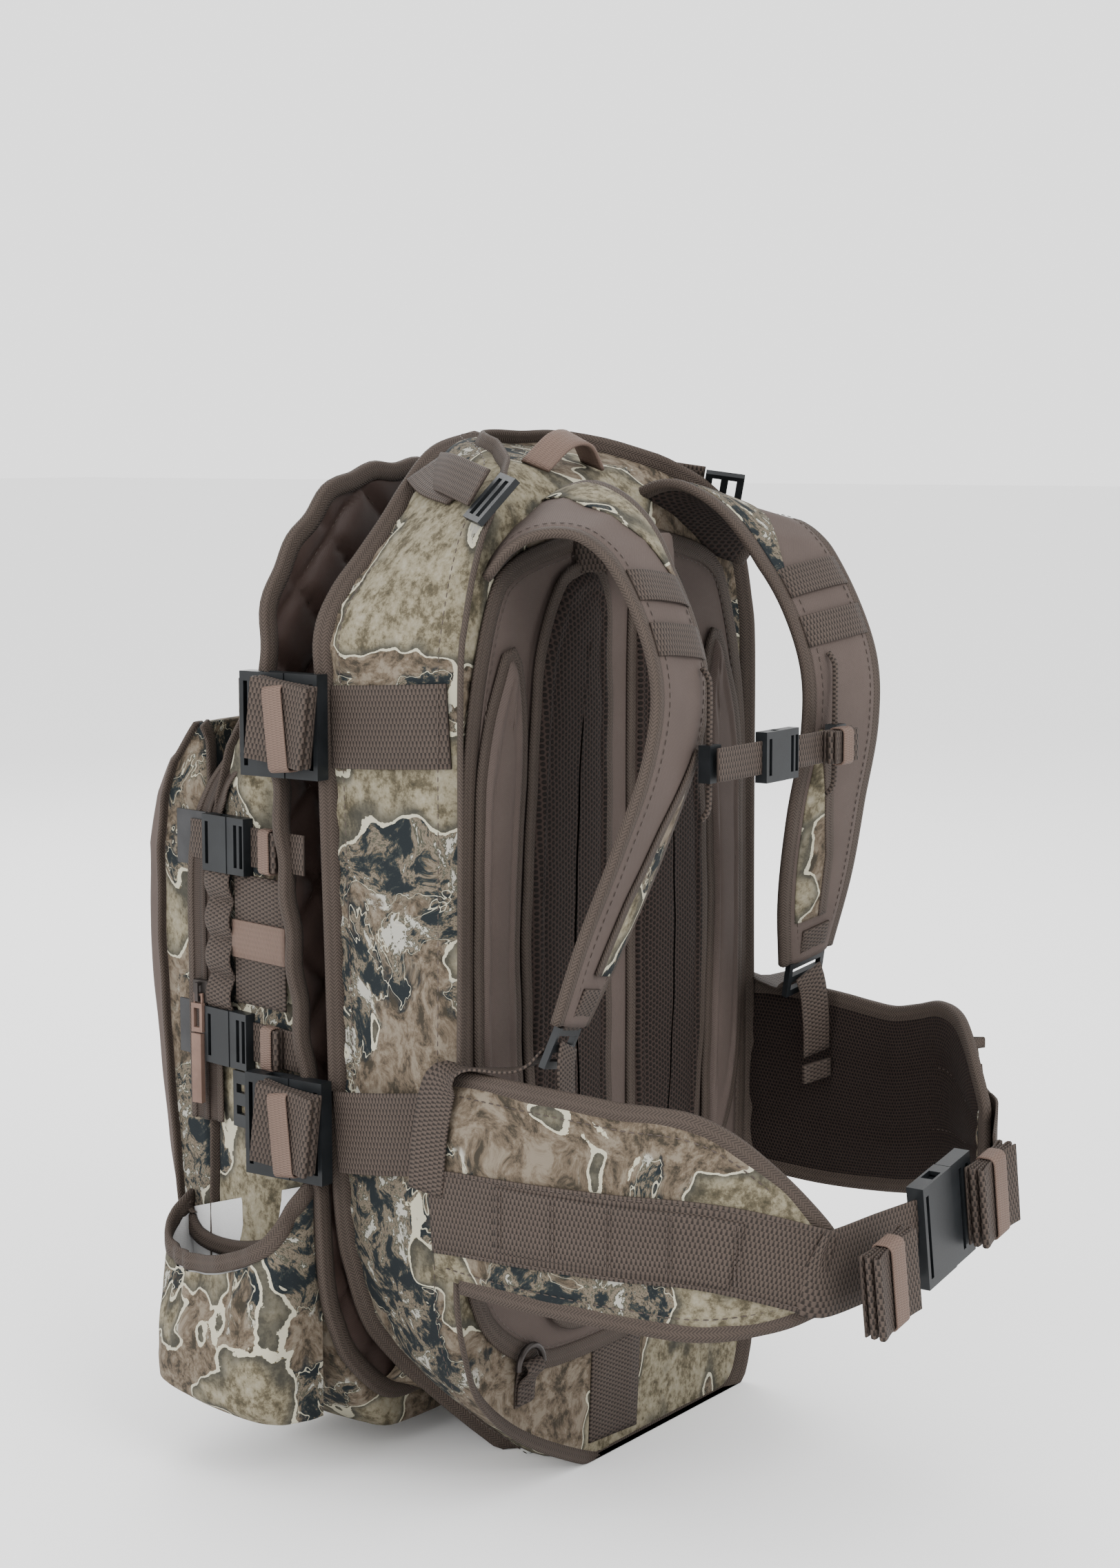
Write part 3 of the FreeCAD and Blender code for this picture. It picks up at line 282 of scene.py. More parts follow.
def camouflage(name="camouflage_cloth"):
    cloth = Finish(name, "camouflage", 0.92, Specular_IOR_Level=0.15)
    place = cloth.object_place()
    drift = cloth.noise(place, 9.0, 3.0, 0.6, "Color")
    centred = cloth.node("ShaderNodeVectorMath", {"operation": "SUBTRACT"},
                         {0: drift, 1: (0.5, 0.5, 0.5)}, "Vector")
    swirl = cloth.node("ShaderNodeVectorMath", {"operation": "SCALE"}, {0: centred, "Scale": 0.085},
                       "Vector")
    warped = shifted(cloth, place, swirl)
    region = cloth.noise(warped, 7.5, 3.0, 0.5)
    second = cloth.noise(shifted(cloth, warped, (3.1, 1.7, 0.4)), 8.0, 5.0, 0.6)
    speckle = cloth.noise(place, 210.0, 6.0, 0.75)
    grain = cloth.noise(place, 60.0, 6.0, 0.7)
    stone_tone = grain * 0.55 + speckle * 0.45
    stone = cloth.ramp(stone_tone, [(0.36, (0.033, 0.029, 0.018)), (0.45, (0.076, 0.064, 0.041)),
                                    (0.52, (0.161, 0.141, 0.096)), (0.64, (0.232, 0.212, 0.161))])
    clump = cloth.noise(shifted(cloth, warped, (0.7, 2.2, 5.1)), 38.0, 9.0, 0.72)
    ragged = cloth.noise(shifted(cloth, warped, (4.4, 0.3, 2.0)), 80.0, 8.0, 0.74)
    lichen_tone = clump * 0.6 + ragged * 0.4
    lichen = cloth.ramp(lichen_tone, [(0.0, (0.010, 0.013, 0.015)), (0.47, (0.022, 0.026, 0.025)),
                                      (0.49, (0.071, 0.058, 0.041)), (0.505, (0.126, 0.104, 0.078)),
                                      (0.53, (0.050, 0.048, 0.035)), (0.555, (0.293, 0.285, 0.252))],
                        "CONSTANT")
    bark = cloth.ramp(ragged, [(0.40, (0.030, 0.025, 0.018)), (0.50, (0.093, 0.071, 0.050)),
                               (0.60, (0.151, 0.126, 0.096))])
    lichen_or_bark = cloth.mix(second.between(0.50, 0.53), lichen, bark)
    base = cloth.mix(region.between(0.516, 0.522), lichen_or_bark, stone)
    shadow = (1.0 - region.between(0.522, 0.565)) * (region > 0.522)
    shaded = cloth.mix(shadow * 0.82, base, (0.030, 0.030, 0.026))
    outline = (abs(region - 0.519 - (grain - 0.5) * 0.03) < 0.0045)
    bark_line = (abs(second - 0.50) < 0.0018) * (region < 0.516)
    lined = cloth.mix(outline.most(bark_line * 0.8), shaded, (0.36, 0.34, 0.26))
    fade = cloth.noise(place, 3.0, 2.0) * 0.5 + 0.72
    toned = cloth.node("ShaderNodeMix", {"data_type": "RGBA", "blend_type": "MULTIPLY"},
                       {0: 1.0, 6: lined, 7: cloth.ramp(fade, [(0.6, (0.72, 0.72, 0.70)),
                                                               (1.2, (1.0, 1.0, 1.0))])}, 2)
    cloth.colour(toned)
    knit = cloth.noise(cloth.node("ShaderNodeMapping", None, {0: place, 3: (500.0, 500.0, 1600.0)}), 1.0,
                       2.0)
    cloth.relief(knit + grain * 0.5, 0.35, 0.0006)
    return cloth


camo = camouflage()
print("camouflage:", len(camo.tree.nodes), "nodes")

# %% [markdown]
# ## Plain weaves
# Oxford cloth is a basket of fat threads. Two sine waves, one along each thread, give the basket its
# height, and the same height paints shade into the gaps between threads. Only the colour, thread width
# and shine differ between the shell cloth, its darker backing and the pale pocket lining.

# %% Oxford cloth and linings
def tinted(finish, tint, shade, height_wire, place):
    """Colour between painted shade in the gaps and a tint on the threads, with slow unevenness."""
    cloudy = finish.noise(place, 14.0, 3.0)
    wear = finish.mix(cloudy.between(0.35, 0.7), tint, tuple(c * 0.86 for c in tint))
    finish.colour(finish.mix(height_wire, shade, wear))


def oxford(name, slot, tint, thread=1.3, roughness=0.8, sheen=0.15):
    cloth = Finish(name, slot, roughness, Specular_IOR_Level=sheen)
    along, across = cloth.cloth_place()
    wave = 2 * math.pi / thread
    threads = (along * wave).sine() * (across * wave).sine() * 0.5 + 0.5
    fuzz = cloth.noise(cloth.object_place(), 900.0, 2.0)
    body = threads * 0.7 + fuzz * 0.3
    # The gaps between threads are painted with shade, at 0.55 of the tint.
    tinted(cloth, tint, tuple(c * 0.55 for c in tint), body.between(0.05, 0.75), cloth.object_place())
    cloth.relief(body, 0.4, 0.0004)
    return cloth


taupe = oxford("taupe_oxford", "plain_fabric", (0.083, 0.063, 0.055))
lining = oxford("quilted_satin", "quilted_lining", (0.044, 0.027, 0.022), 0.8, 0.55, 0.3)
pale_lining = oxford("pale_pocket_lining", "plain_fabric", (0.62, 0.62, 0.62), 0.9, 0.6, 0.1)

# %% [markdown]
# ## Webbing, elastic and binding tape
# Webbing has ribs across its length, broken into narrow columns. Binding tape is a herringbone:
# its ribs lean one way, then the other. Both are the same sum with a different phase, so one
# recipe serves them all.

# %% Tapes
def tape(name, slot, tint, rib, column, lean=0.0, roughness=0.75, groove_shade_depth=0.5):
    """Woven tape: ribs of a given width in mm, in columns, leaning like herringbone, with painted shade in
    the grooves.
    """
    cloth = Finish(name, slot, roughness, Specular_IOR_Level=0.2)
    along, across = cloth.cloth_place()
    zigzag = abs((across / column % 1.0) - 0.5) * 2.0 * lean
    step = (across / column).floor() * (0.5 if lean == 0 else 0.0)
    ribs = ((along / rib + zigzag + step) * (2 * math.pi)).sine() * 0.5 + 0.5
    edges = (across / column * (2 * math.pi)).sine() * 0.5 + 0.5
    body = ribs * 0.75 + edges * 0.25
    # The grooves between ribs and columns are painted with shade, darker than the tint by the given share.
    tinted(cloth, tint, tuple(c * (1 - groove_shade_depth) for c in tint), body.between(0.1, 0.7),
           cloth.object_place())
    cloth.relief(body, 0.55, 0.0007)
    return cloth


webbing = tape("brown_webbing", "webbing", (0.058, 0.043, 0.035), 2.8, 3.4, 0.0, 0.75, 0.78)
binding = tape("herringbone_binding", "plain_fabric", (0.055, 0.041, 0.033), 2.2, 5.0, 1.3)
elastic = tape("ribbed_elastic", "elastic", (0.127, 0.085, 0.067), 1.5, 3.2, 0.0, 0.7, 0.35)
zip_cloth = tape("zip_tape", "zip_coil", (0.042, 0.030, 0.024), 1.4, 1.8, 0.5, 0.7)

# %% [markdown]
# ## Spacer mesh
# The back pads wear an open knit of hexagonal holes. Two square grids of dots, one set half a step
# over, make a hexagonal lattice, and the distance to the nearer dot is the depth of each hole. Each
# hole is painted near black: the cloth beneath, darkened with painted shade.

# %% Mesh cloths
def hole_mesh(name, tint, hole_shade, cell):
    cloth = Finish(name, "air_mesh", 0.85, Specular_IOR_Level=0.15)
    along, across = cloth.cloth_place()
    tall = cell * math.sqrt(3)

    def spot(shift):
        a = (along / cell + shift) % 1.0 - 0.5
        b = (across / tall + shift) % 1.0 - 0.5
        return (a * a * cell * cell + b * b * tall * tall).power(0.5)

    nearest = spot(0.0).least(spot(0.5))
    rim = nearest.between(cell * 0.22, cell * 0.42)
    # Inside each hole the colour is painted shade over the cloth beneath.
    cloth.colour(cloth.mix(rim, hole_shade, tint))
    cloth.relief(rim, 0.9, 0.0012)
    return cloth


# The second colour of each mesh is the painted shade in its holes.
air_mesh = hole_mesh("hex_air_mesh", (0.028, 0.019, 0.016), (0.008, 0.006, 0.005), 3.6)
belt_mesh = hole_mesh("belt_mesh", (0.024, 0.016, 0.013), (0.006, 0.004, 0.004), 2.4)

# %% [markdown]
# ## Hard finishes
# Moulded plastic is nearly black, with a fine spark-eroded grain. The zip sliders and D-rings are
# metal under dark paint. Thread is a plain glossy filament.

# %% Plastics, metals and thread
def moulded(name, slot, tint, roughness, grain=1400.0, strength=0.12, metallic=0.0):
    part = Finish(name, slot, roughness, Metallic=metallic, Specular_IOR_Level=0.22)
    place = part.object_place()
    fine = part.noise(place, grain, 3.0)
    broad = part.noise(place, 35.0, 4.0)
    part.colour(part.mix(broad.between(0.35, 0.7), tint, tuple(c * 1.5 + 0.002 for c in tint)))
    part.rough(fine * 0.16 + broad * 0.1 + (roughness - 0.13))
    part.relief(fine, strength, 0.0003)
    return part


plastic = moulded("satin_black_plastic", "buckle_plastic", (0.006, 0.007, 0.008), 0.42)
rubber = moulded("soft_rubber", "rubber_patch", (0.020, 0.020, 0.021), 0.62)
painted = moulded("painted_metal", "zip_metal", (0.035, 0.030, 0.028), 0.35, 500.0, 0.1, 0.7)
cord_pull = moulded("moulded_cord", "zip_pull", (0.10, 0.062, 0.048), 0.6, 900.0, 0.3)
steel_rod = moulded("stay_metal", "aluminium_stay", (0.62, 0.62, 0.63), 0.3, 700.0, 0.1, 1.0)
sheet_black = moulded("frame_sheet_plastic", "sheet_plastic", (0.03, 0.03, 0.03), 0.5)
thread = moulded("sewing_thread", "cord", (0.040, 0.030, 0.025), 0.55, 2500.0, 0.3)
floor_paint = Finish("pale_floor", None, 0.9)
floor_paint.shader.inputs["Base Color"].default_value = (0.88, 0.88, 0.88, 1)
floor_mesh.materials.append(floor_paint.material)
print("finishes:", len(bpy.data.materials))

# %% [markdown]
# ## Curves and cloth surfaces
# Almost every piece is a strip or a sheet that follows a curve. `smooth_line` draws a curve
# through a few chosen points, carrying widths along with them. `cloth_surface` turns rows of
# points into a mesh with a UV map in metres, so that every weave comes out at its real size.

# %% Curves
def smooth_line(points, count, closed=False):
    """Evenly spaced points on a smooth curve; columns after the third are carried along."""
    points = np.asarray(points, float)
    if closed:
        padded = np.vstack([points[-1:], points, points[:2]])
        spans = len(points)
    else:
        padded = np.vstack([2 * points[0] - points[1], points, 2 * points[-1] - points[-2]])
        spans = len(points) - 1
    t = np.linspace(0, 1, 12, endpoint=False)[:, None]
    pieces = []
    for a, b, c, d in (padded[i:i + 4] for i in range(spans)):
        pieces.append(0.5 * (2 * b + (c - a) * t + (2 * a - 5 * b + 4 * c - d) * t ** 2
                             + (3 * b - a - 3 * c + d) * t ** 3))
    dense = np.vstack(pieces + [pieces[0][:1] if closed else points[-1:]])
    run = np.r_[0, np.cumsum(np.linalg.norm(np.diff(dense[:, :3], axis=0), axis=1))]
    wanted = np.linspace(0, run[-1], count, endpoint=not closed)
    return np.stack([np.interp(wanted, run, dense[:, k]) for k in range(dense.shape[1])], axis=1)


def unit(vectors):
    vectors = np.asarray(vectors, float)
    return vectors / np.maximum(np.linalg.norm(vectors, axis=-1, keepdims=True), 1e-9)


def tangents(line, closed=False):
    if closed:
        return unit(np.roll(line, -1, axis=0) - np.roll(line, 1, axis=0))
    return unit(np.gradient(line, axis=0))


def ripple(points, size, seed):
    """Soft unevenness from -1 to 1: a few slow waves crossing in seeded directions."""
    chooser = np.random.RandomState(seed)
    total = np.zeros(np.shape(points)[:-1])
    for _ in range(6):
        way = unit(chooser.normal(size=3))
        wave = size * chooser.uniform(0.6, 1.6)
        total += np.sin(points @ way * 2 * math.pi / wave + chooser.uniform(0, 6.3))
    return total / 4


# %% Cloth surfaces
def sew(name, points, faces, finish, body, uv=None, pick=None, replaces=()):
    """A mesh piece from maker's points, with its finish, its body and the nodes it stands for."""
    finishes = finish if isinstance(finish, list) else [finish]
    mesh = bpy.data.meshes.new(name)
    placed = at(points)
    placed[:, 2] = np.maximum(placed[:, 2], 0.4 * mm)
    mesh.from_pydata(placed.tolist(), [], [tuple(map(int, face)) for face in faces])
    for one in finishes:
        mesh.materials.append(one.material)
    if uv is not None:
        layer = mesh.uv_layers.new(name="cloth")
        layer.data.foreach_set("uv", (np.asarray(uv, float) * mm).ravel())
    if pick is not None:
        mesh.polygons.foreach_set("material_index", np.asarray(pick, int))
    mesh.shade_smooth()
    mesh.update()
    piece = bpy.data.objects.new(name, mesh)
    bpy.context.collection.objects.link(piece)
    if isinstance(body, tuple):
        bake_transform(piece)
    else:
        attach(piece, body)
    if replaces:
        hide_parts(*replaces)
    return piece


def cloth_surface(name, rows, finish, body, wrap=False, pick=None, replaces=(), caps=False):
    """Surface through rows of points; wrap joins each row's end to its start."""
    rows = np.asarray(rows, float)
    count, across = rows.shape[:2]
    ahead = np.roll(rows, -1, axis=1) - rows
    u = np.r_[0, np.cumsum(np.linalg.norm(ahead, axis=2).mean(axis=0))]
    v = np.r_[0, np.cumsum(np.linalg.norm(np.diff(rows, axis=0), axis=2).mean(axis=1))]
    last = across if wrap else across - 1
    i, j = (grid.ravel() for grid in np.meshgrid(np.arange(count - 1), np.arange(last), indexing="ij"))
    k = (j + 1) % across
    faces = np.stack([i * across + j, i * across + k, (i + 1) * across + k, (i + 1) * across + j], axis=1)
    uv = np.stack([u[j], v[i], u[j + 1], v[i], u[j + 1], v[i + 1], u[j], v[i + 1]], axis=1).reshape(-1, 2)
    faces = faces.tolist()
    if caps:
        for ring in (list(range(across))[::-1], list(range((count - 1) * across, count * across))):
            faces.append(ring)
            flat = rows.reshape(-1, 3)[ring]
            uv = np.vstack([uv, flat[:, :2] - flat[0, :2]])
        if pick is not None:
            pick = list(pick) + [0, 0]
    return sew(name, rows.reshape(-1, 3), faces, finish, body, uv, pick, replaces)


def sweep(name, line, across, profile, finish, body="pack", widths=None, closed=False, pick=None,
          replaces=()):
    """A profile of (sideways, outwards) points carried along a line."""
    line = np.asarray(line, float)[:, :3]
    along = tangents(line, closed)
    side = np.broadcast_to(np.asarray(across, float), line.shape)
    out = unit(np.cross(along, side))
    side = np.cross(out, along)
    profile = np.asarray(profile, float)
    scale = np.ones(len(line)) if widths is None else np.asarray(widths, float)
    rows = (line[:, None, :] + side[:, None, :] * (profile[None, :, :1] * scale[:, None, None])
            + out[:, None, :] * profile[None, :, 1:2])
    if closed:
        rows = np.concatenate([rows, rows[:1]])
    turned = None
    if pick is not None:
        turned = [pick(j) for i in range(len(rows) - 1) for j in range(len(profile))]
    return strip(name, rows, finish, body, turned, replaces, closed)


def strip(name, rows, finish, body, pick, replaces, closed):
    """A closed tube of rows whose UV runs along it, so that ribs lie across."""
    count, around = rows.shape[:2]
    run = np.r_[0, np.cumsum(np.linalg.norm(np.diff(rows, axis=0), axis=2).mean(axis=1))]
    girth = np.r_[0, np.cumsum(np.linalg.norm(np.roll(rows, -1, axis=1) - rows, axis=2).mean(axis=0))]
    i, j = (grid.ravel() for grid in np.meshgrid(np.arange(count - 1), np.arange(around), indexing="ij"))
    k = (j + 1) % around
    real = count - 1 if closed else count
    n = (i + 1) % real
    faces = np.stack([i * around + j, i * around + k, n * around + k, n * around + j], axis=1).tolist()
    uv = np.stack([run[i], girth[j], run[i], girth[j + 1], run[i + 1], girth[j + 1], run[i + 1], girth[j]],
                  axis=1).reshape(-1, 2)
    if not closed:
        for ring in (list(range(around))[::-1], list(range((count - 1) * around, count * around))):
            faces.append(ring)
            uv = np.vstack([uv, np.stack([np.zeros(around), girth[:-1]], axis=1)])
        if pick is not None:
            pick = pick + [0, 0]
    return sew(name, rows[:real].reshape(-1, 3), faces, finish, body, uv, pick, replaces)


# %% Profiles of tapes and pads
def flat_profile(width, thickness, round_off=0.5):
    """Flat tape with rounded edges."""
    w, t = width / 2, thickness / 2
    e = t * round_off
    return [(-w, -t + e), (-w + e, -t), (-w * 0.5, -t), (0, -t), (w * 0.5, -t), (w - e, -t), (w, -t + e),
            (w, t - e), (w - e, t), (w * 0.5, t), (0, t), (-w * 0.5, t), (-w + e, t), (-w, t - e)]


def ribbon(name, points, across, width, thickness, finish, body="pack", count=None, replaces=(),
           widths=None):
    """Webbing through a few points."""
    points = np.asarray(points, float)
    length = np.linalg.norm(np.diff(points[:, :3], axis=0), axis=1).sum()
    count = count or max(8, int(length / 4))
    line = smooth_line(points, count)
    ways = across
    if np.ndim(across) == 2:
        spots = np.linspace(0, 1, len(across))
        ways = np.stack([np.interp(np.linspace(0, 1, count), spots, np.asarray(across, float)[:, k])
                         for k in range(3)], axis=1)
    return sweep(name, line, ways, flat_profile(width, thickness), finish, body, widths, replaces=replaces)


def bound_edge(name, line, out, body="pack", width=12.0, thickness=3.4, closed=True, finish=None):
    """Binding tape folded over a seam: it stands out along `out` from the line."""
    line = np.asarray(line, float)
    out = unit(np.broadcast_to(np.asarray(out, float), line.shape))
    centre = line + out * (width * 0.30)
    w, t = width / 2, thickness / 2
    profile = [(-w, -t * 0.8), (-w * 0.4, -t), (w * 0.4, -t), (w * 0.85, -t * 0.75), (w, 0),
               (w * 0.85, t * 0.75), (w * 0.4, t), (-w * 0.4, t), (-w, t * 0.8)]
    return sweep(name, centre, out, profile, finish or binding, body, closed=closed)


def stitches(name, lines, lift_ways, body="pack", length=3.4, pause=2.0, radius=0.42):
    """Dashes of thread along lines, each lifted towards its own way."""
    spots, ways = [], []
    for line, way in zip(lines, lift_ways):
        line = np.asarray(line, float)[:, :3]
        run = np.r_[0, np.cumsum(np.linalg.norm(np.diff(line, axis=0), axis=1))]
        starts = np.arange(pause, run[-1] - length, length + pause)
        if not len(starts):
            continue
        for shift in (0, length):
            spots.append(np.stack([np.interp(starts + shift, run, line[:, k]) for k in range(3)], axis=1))
        ways.append(np.broadcast_to(np.asarray(way, float), line.shape)[
            np.searchsorted(run, starts).clip(0, len(line) - 1)])
    first, second = np.vstack(spots[0::2]), np.vstack(spots[1::2])
    lift = unit(np.vstack(ways))
    along = unit(second - first)
    side = unit(np.cross(along, lift))
    rows = []
    for share, size in ((0.0, 0.35), (0.2, 0.9), (0.5, 1.0), (0.8, 0.9), (1.0, 0.35)):
        centre = first + (second - first) * share + lift * radius * 0.35
        ring = [centre + (side * math.cos(a) + lift * math.sin(a) * 0.8) * radius * size
                for a in np.linspace(0, 2 * math.pi, 6, endpoint=False)]
        rows.append(np.stack(ring, axis=1))
    rows = np.stack(rows, axis=1)                       # dash, row, around, xyz
    count = len(rows)
    pattern = [(i * 6 + j, i * 6 + (j + 1) % 6, (i + 1) * 6 + (j + 1) % 6, (i + 1) * 6 + j)
               for i in range(4) for j in range(6)]
    faces = (np.arange(count)[:, None, None] * 30 + np.array(pattern)[None]).reshape(-1, 4)
    return sew(name, rows.reshape(-1, 3), faces, thread, body)


print("cloth tools ready")

# %% [markdown]
# ## The bags' outlines
# Seen from the wearer's side the harness body is a tall arch, squarer at the back panel than at
# the slot, so its side panel tapers. Each outline is given from the bottom centre up to the top
# centre, as shares of the half width and the height, and both sides come from the same points.

# %% Outlines
def half_outline(shares, count, wide=None):
    """(x, z) points from bottom centre to top centre."""
    flat = np.array([(w * (wide or half_width), 0, h * height) for w, h in shares])
    return smooth_line(flat, count)[:, [0, 2]]


def full_outline(right, left=None):
    """Closed outline: up the right side and down the left."""
    left = right if left is None else left
    down = left[1:-1][::-1] * (-1, 1)
    return np.vstack([right, down])


side_count = 150
upper_back = [(0.975, 0.44), (0.965, 0.62), (0.96, 0.79), (0.93, 0.84), (0.87, 0.89), (0.79, 0.927),
              (0.62, 0.96), (0.42, 0.985), (0.25, 1.0), (0, 1.0)]
back_right = half_outline([(0, 0), (0.5, 0), (0.86, 0.0), (0.97, 0.035), (1.0, 0.1), (1.0, 0.2)] + upper_back,
                          side_count)
back_left = half_outline([(0, 0), (0.10, 0), (0.45, 0.04), (0.70, 0.078), (0.88, 0.12), (0.95, 0.16),
                          (0.99, 0.2), (1.0, 0.25)] + upper_back, side_count)
slot_half = half_outline([(0, 0), (0.20, 0), (0.32, 0.03), (0.44, 0.065), (0.58, 0.105), (0.72, 0.15),
                          (0.80, 0.2), (0.87, 0.29), (0.90, 0.53), (0.93, 0.76), (0.94, 0.82),
                          (0.853, 0.856), (0.705, 0.888), (0.552, 0.922), (0.417, 0.955),
                          (0.25, 0.986), (0, 1.0)], side_count)
back_outline = full_outline(back_right, back_left)
slot_outline = full_outline(slot_half)


def slot_face_y(z):
    """The harness body's slot side, which leans back at its foot."""
    return back_plane + depth * np.interp(np.asarray(z) / height, [0, 0.03, 0.065, 0.105, 0.15, 0.23, 0.76],
                                          [0.42, 0.60, 0.75, 0.88, 0.95, 0.985, 1.0])


def back_face_y(z):
    """The harness body's back, which leans forward over its crown."""
    return back_plane + depth * np.interp(np.asarray(z) / height, [0.93, 0.955, 0.975, 0.99, 1.0],
                                          [0, 0.08, 0.22, 0.45, 0.74])


slot_width = 50.0


def liner_y(z):
    """The lined face across the slot."""
    return back_plane + depth * 0.985 + slot_width * np.interp(
        np.asarray(z) / height, [0.08, 0.23, 0.30, 0.37, 0.46, 0.61, 0.68, 0.79],
        [0.14, 0.20, 0.24, 0.38, 0.54, 0.76, 0.82, 1.0])


def placed_outline(outline, y_of_z):
    return np.stack([outline[:, 0], y_of_z(outline[:, 1]), outline[:, 1]], axis=1)


def outward(outline):
    """Way out of a closed x-z outline, in its own plane."""
    along = tangents(outline, closed=True)
    return np.stack([along[:, 1], np.zeros(len(outline)), -along[:, 0]], axis=1)


back_edge = placed_outline(back_outline, back_face_y)
slot_edge = placed_outline(slot_outline, slot_face_y)
back_out, slot_out = outward(back_outline), outward(slot_outline)
print("outline points:", len(back_edge))

# %% [markdown]
# ## The harness body
# Its side panel is one strip of camouflage that runs right round between two bound seams. It could
# be a straight loft, but cloth pulled between two seams swells a little and puckers beside the
# thread, so the strip is crowned and its edge rows carry short shallow puckers.

# %% Side panel, back face and slot face
def closing_rows(edge, y_centre, rings, relief=None):
    """Rows that shrink a closed edge to a line up its middle, for a face."""
    middle_z = edge[:, 2]
    rows = []
    for share in np.linspace(1, 0.0, rings):
        ring = edge.copy()
        ring[:, 0] = edge[:, 0] * share
        low, high = middle_z.min(), middle_z.max()
        squeeze = (middle_z - (low + high) / 2) * (share + (1 - share) * 0.80) + (low + high) / 2
        ring[:, 2] = squeeze
        ring[:, 1] = y_centre(squeeze) + (relief(ring) if relief else 0)
        rows.append(ring)
    return rows


panel_rows = []
for share in np.linspace(0, 1, 16):
    crown = 5.5 * math.sin(math.pi * share) ** 0.7
    ring = back_edge * (1 - share) + slot_edge * share
    way = unit(back_out * (1 - share) + slot_out * share)
    pucker = 0.8 * math.exp(-min(share, 1 - share) * 14) * np.sin(np.arange(len(ring)) * 1.35)
    swell = crown + 1.3 * ripple(ring, 90.0, 4) * math.sin(math.pi * share) + pucker
    panel_rows.append(ring + way * swell[:, None])
cloth_surface("harness_side_panel", np.array(panel_rows)[::-1], camo, "pack", wrap=True,
              replaces=("harness_shell",))

back_rows = closing_rows(back_edge, back_face_y, 22, lambda ring: -0.8 - 0.8 * ripple(ring, 120.0, 9))
cloth_surface("harness_back_face", np.array(back_rows)[::-1], camo, "pack", wrap=True)


def quilt(ring, spacing, depth_mm):
    """Height of diamond quilting: full between the seams and pulled in along them."""
    one = (ring[:, 0] + ring[:, 2]) / spacing
    two = (ring[:, 0] - ring[:, 2]) / spacing
    near = np.minimum(np.abs(one - np.round(one)), np.abs(two - np.round(two))) * spacing / 1.42
    return depth_mm * (1 - np.exp(-near / 5.0)) + 0.7 * ripple(ring, 26.0, 12)


slot_rows = closing_rows(slot_edge, slot_face_y, 44, lambda ring: quilt(ring, 62.0, 5.0) - 4.6)
slot_lining = cloth_surface("slot_lining_harness", np.array(slot_rows), lining, "pack", wrap=True)

away_back = back_out * 0.75 + np.array([0, -0.65, 0])
away_slot = slot_out * 0.75 + np.array([0, 0.65, 0])
bound_edge("back_seam_binding", back_edge, away_back, width=13.0)
bound_edge("slot_seam_binding", slot_edge, away_slot, width=13.0)
stitches("harness_seam_stitches",
         [back_edge + back_out * 5.2 + (0, 12, 0), slot_edge + slot_out * 5.0 + (0, -11, 0)],
         [back_out, slot_out])
print("harness body: side panel rows", len(panel_rows))

# %% [markdown]
# ## The lined wall of the slot
# Across the slot stands a quilted panel that ends in an arch of its own. It is padded, so its
# diamonds swell between the stitch lines and its bound edge ripples. Its far side is camouflage,
# and below the top of the outer module it is backed by the main compartment.

# %% Slot liner
def liner_edge_points(thickness):
    low = 0.07
    half = half_outline([(0, low), (0.35, low), (0.58, 0.075), (0.79, 0.12), (0.87, 0.157), (0.91, 0.19),
                         (0.925, 0.25), (0.925, 0.46), (0.925, 0.68), (0.925, 0.782), (0.925, 0.82),
                         (0.90, 0.856), (0.83, 0.885), (0.70, 0.92), (0.58, 0.945), (0.45, 0.96),
                         (0.22, 0.968), (0, 0.97)], side_count, 163.0)
    outline = full_outline(half)
    run = np.r_[0, np.cumsum(np.linalg.norm(np.diff(outline, axis=0), axis=1))]
    scallop = 1.6 * np.sin(run * 2 * math.pi / 44.0) * (outline[:, 1] > height * 0.3)
    edge = placed_outline(outline, lambda z: liner_y(np.minimum(z, height * 0.782)) + thickness)
    return edge + outward(outline) * scallop[:, None], outward(outline)


liner_front, liner_out = liner_edge_points(0.0)
liner_rear = liner_front + (0, 4.0, 0)


def liner_face_y(z):
    return liner_y(np.minimum(z, height * 0.782))


front_rows = closing_rows(liner_front, liner_face_y, 46, lambda ring: 3.2 - quilt(ring, 62.0, 5.0))
rear_rows = closing_rows(liner_rear, lambda z: liner_face_y(z) + 4.0, 10)
quilted = cloth_surface("slot_liner_quilted", np.array(front_rows)[::-1], lining, "outer_pack", wrap=True,
                        replaces=("slot_liner",))
cloth_surface("slot_liner_back", np.array(rear_rows), camo, "outer_pack", wrap=True)
bound_edge("slot_liner_binding", (liner_front + liner_rear) / 2 - (0, 1.5, 0), liner_out, "outer_pack",
           width=12.0, thickness=6.5)


def diamond_lines(y_of_z, half, low, high, spacing):
    """Stitch lines of the diamond quilting that stay inside an oval."""
    lines = []
    for lean in (1, -1):
        for offset in np.arange(-20, 21) * spacing:
            z = np.arange(low, high, 4.0)
            x = lean * z - offset if lean > 0 else offset - z
            keep = np.abs(x) < half(z)
            if keep.sum() > 6:
                lines.append(np.stack([x[keep], y_of_z(z[keep]), z[keep]], axis=1))
    return lines


def liner_half(z):
    return np.interp(z / height, [0.07, 0.12, 0.19, 0.25, 0.82, 0.885, 0.945, 0.965],
                     [70, 110, 136, 143, 143, 126, 84, 30]) - 8


quilt_lines = diamond_lines(lambda z: liner_face_y(z) + 2.7, liner_half, height * 0.09, height * 0.955, 62.0)
stitches("slot_liner_stitches", quilt_lines, [(0, -1, 0)] * len(quilt_lines), "outer_pack", 3.0, 2.6, 0.45)
print("quilt lines:", len(quilt_lines))
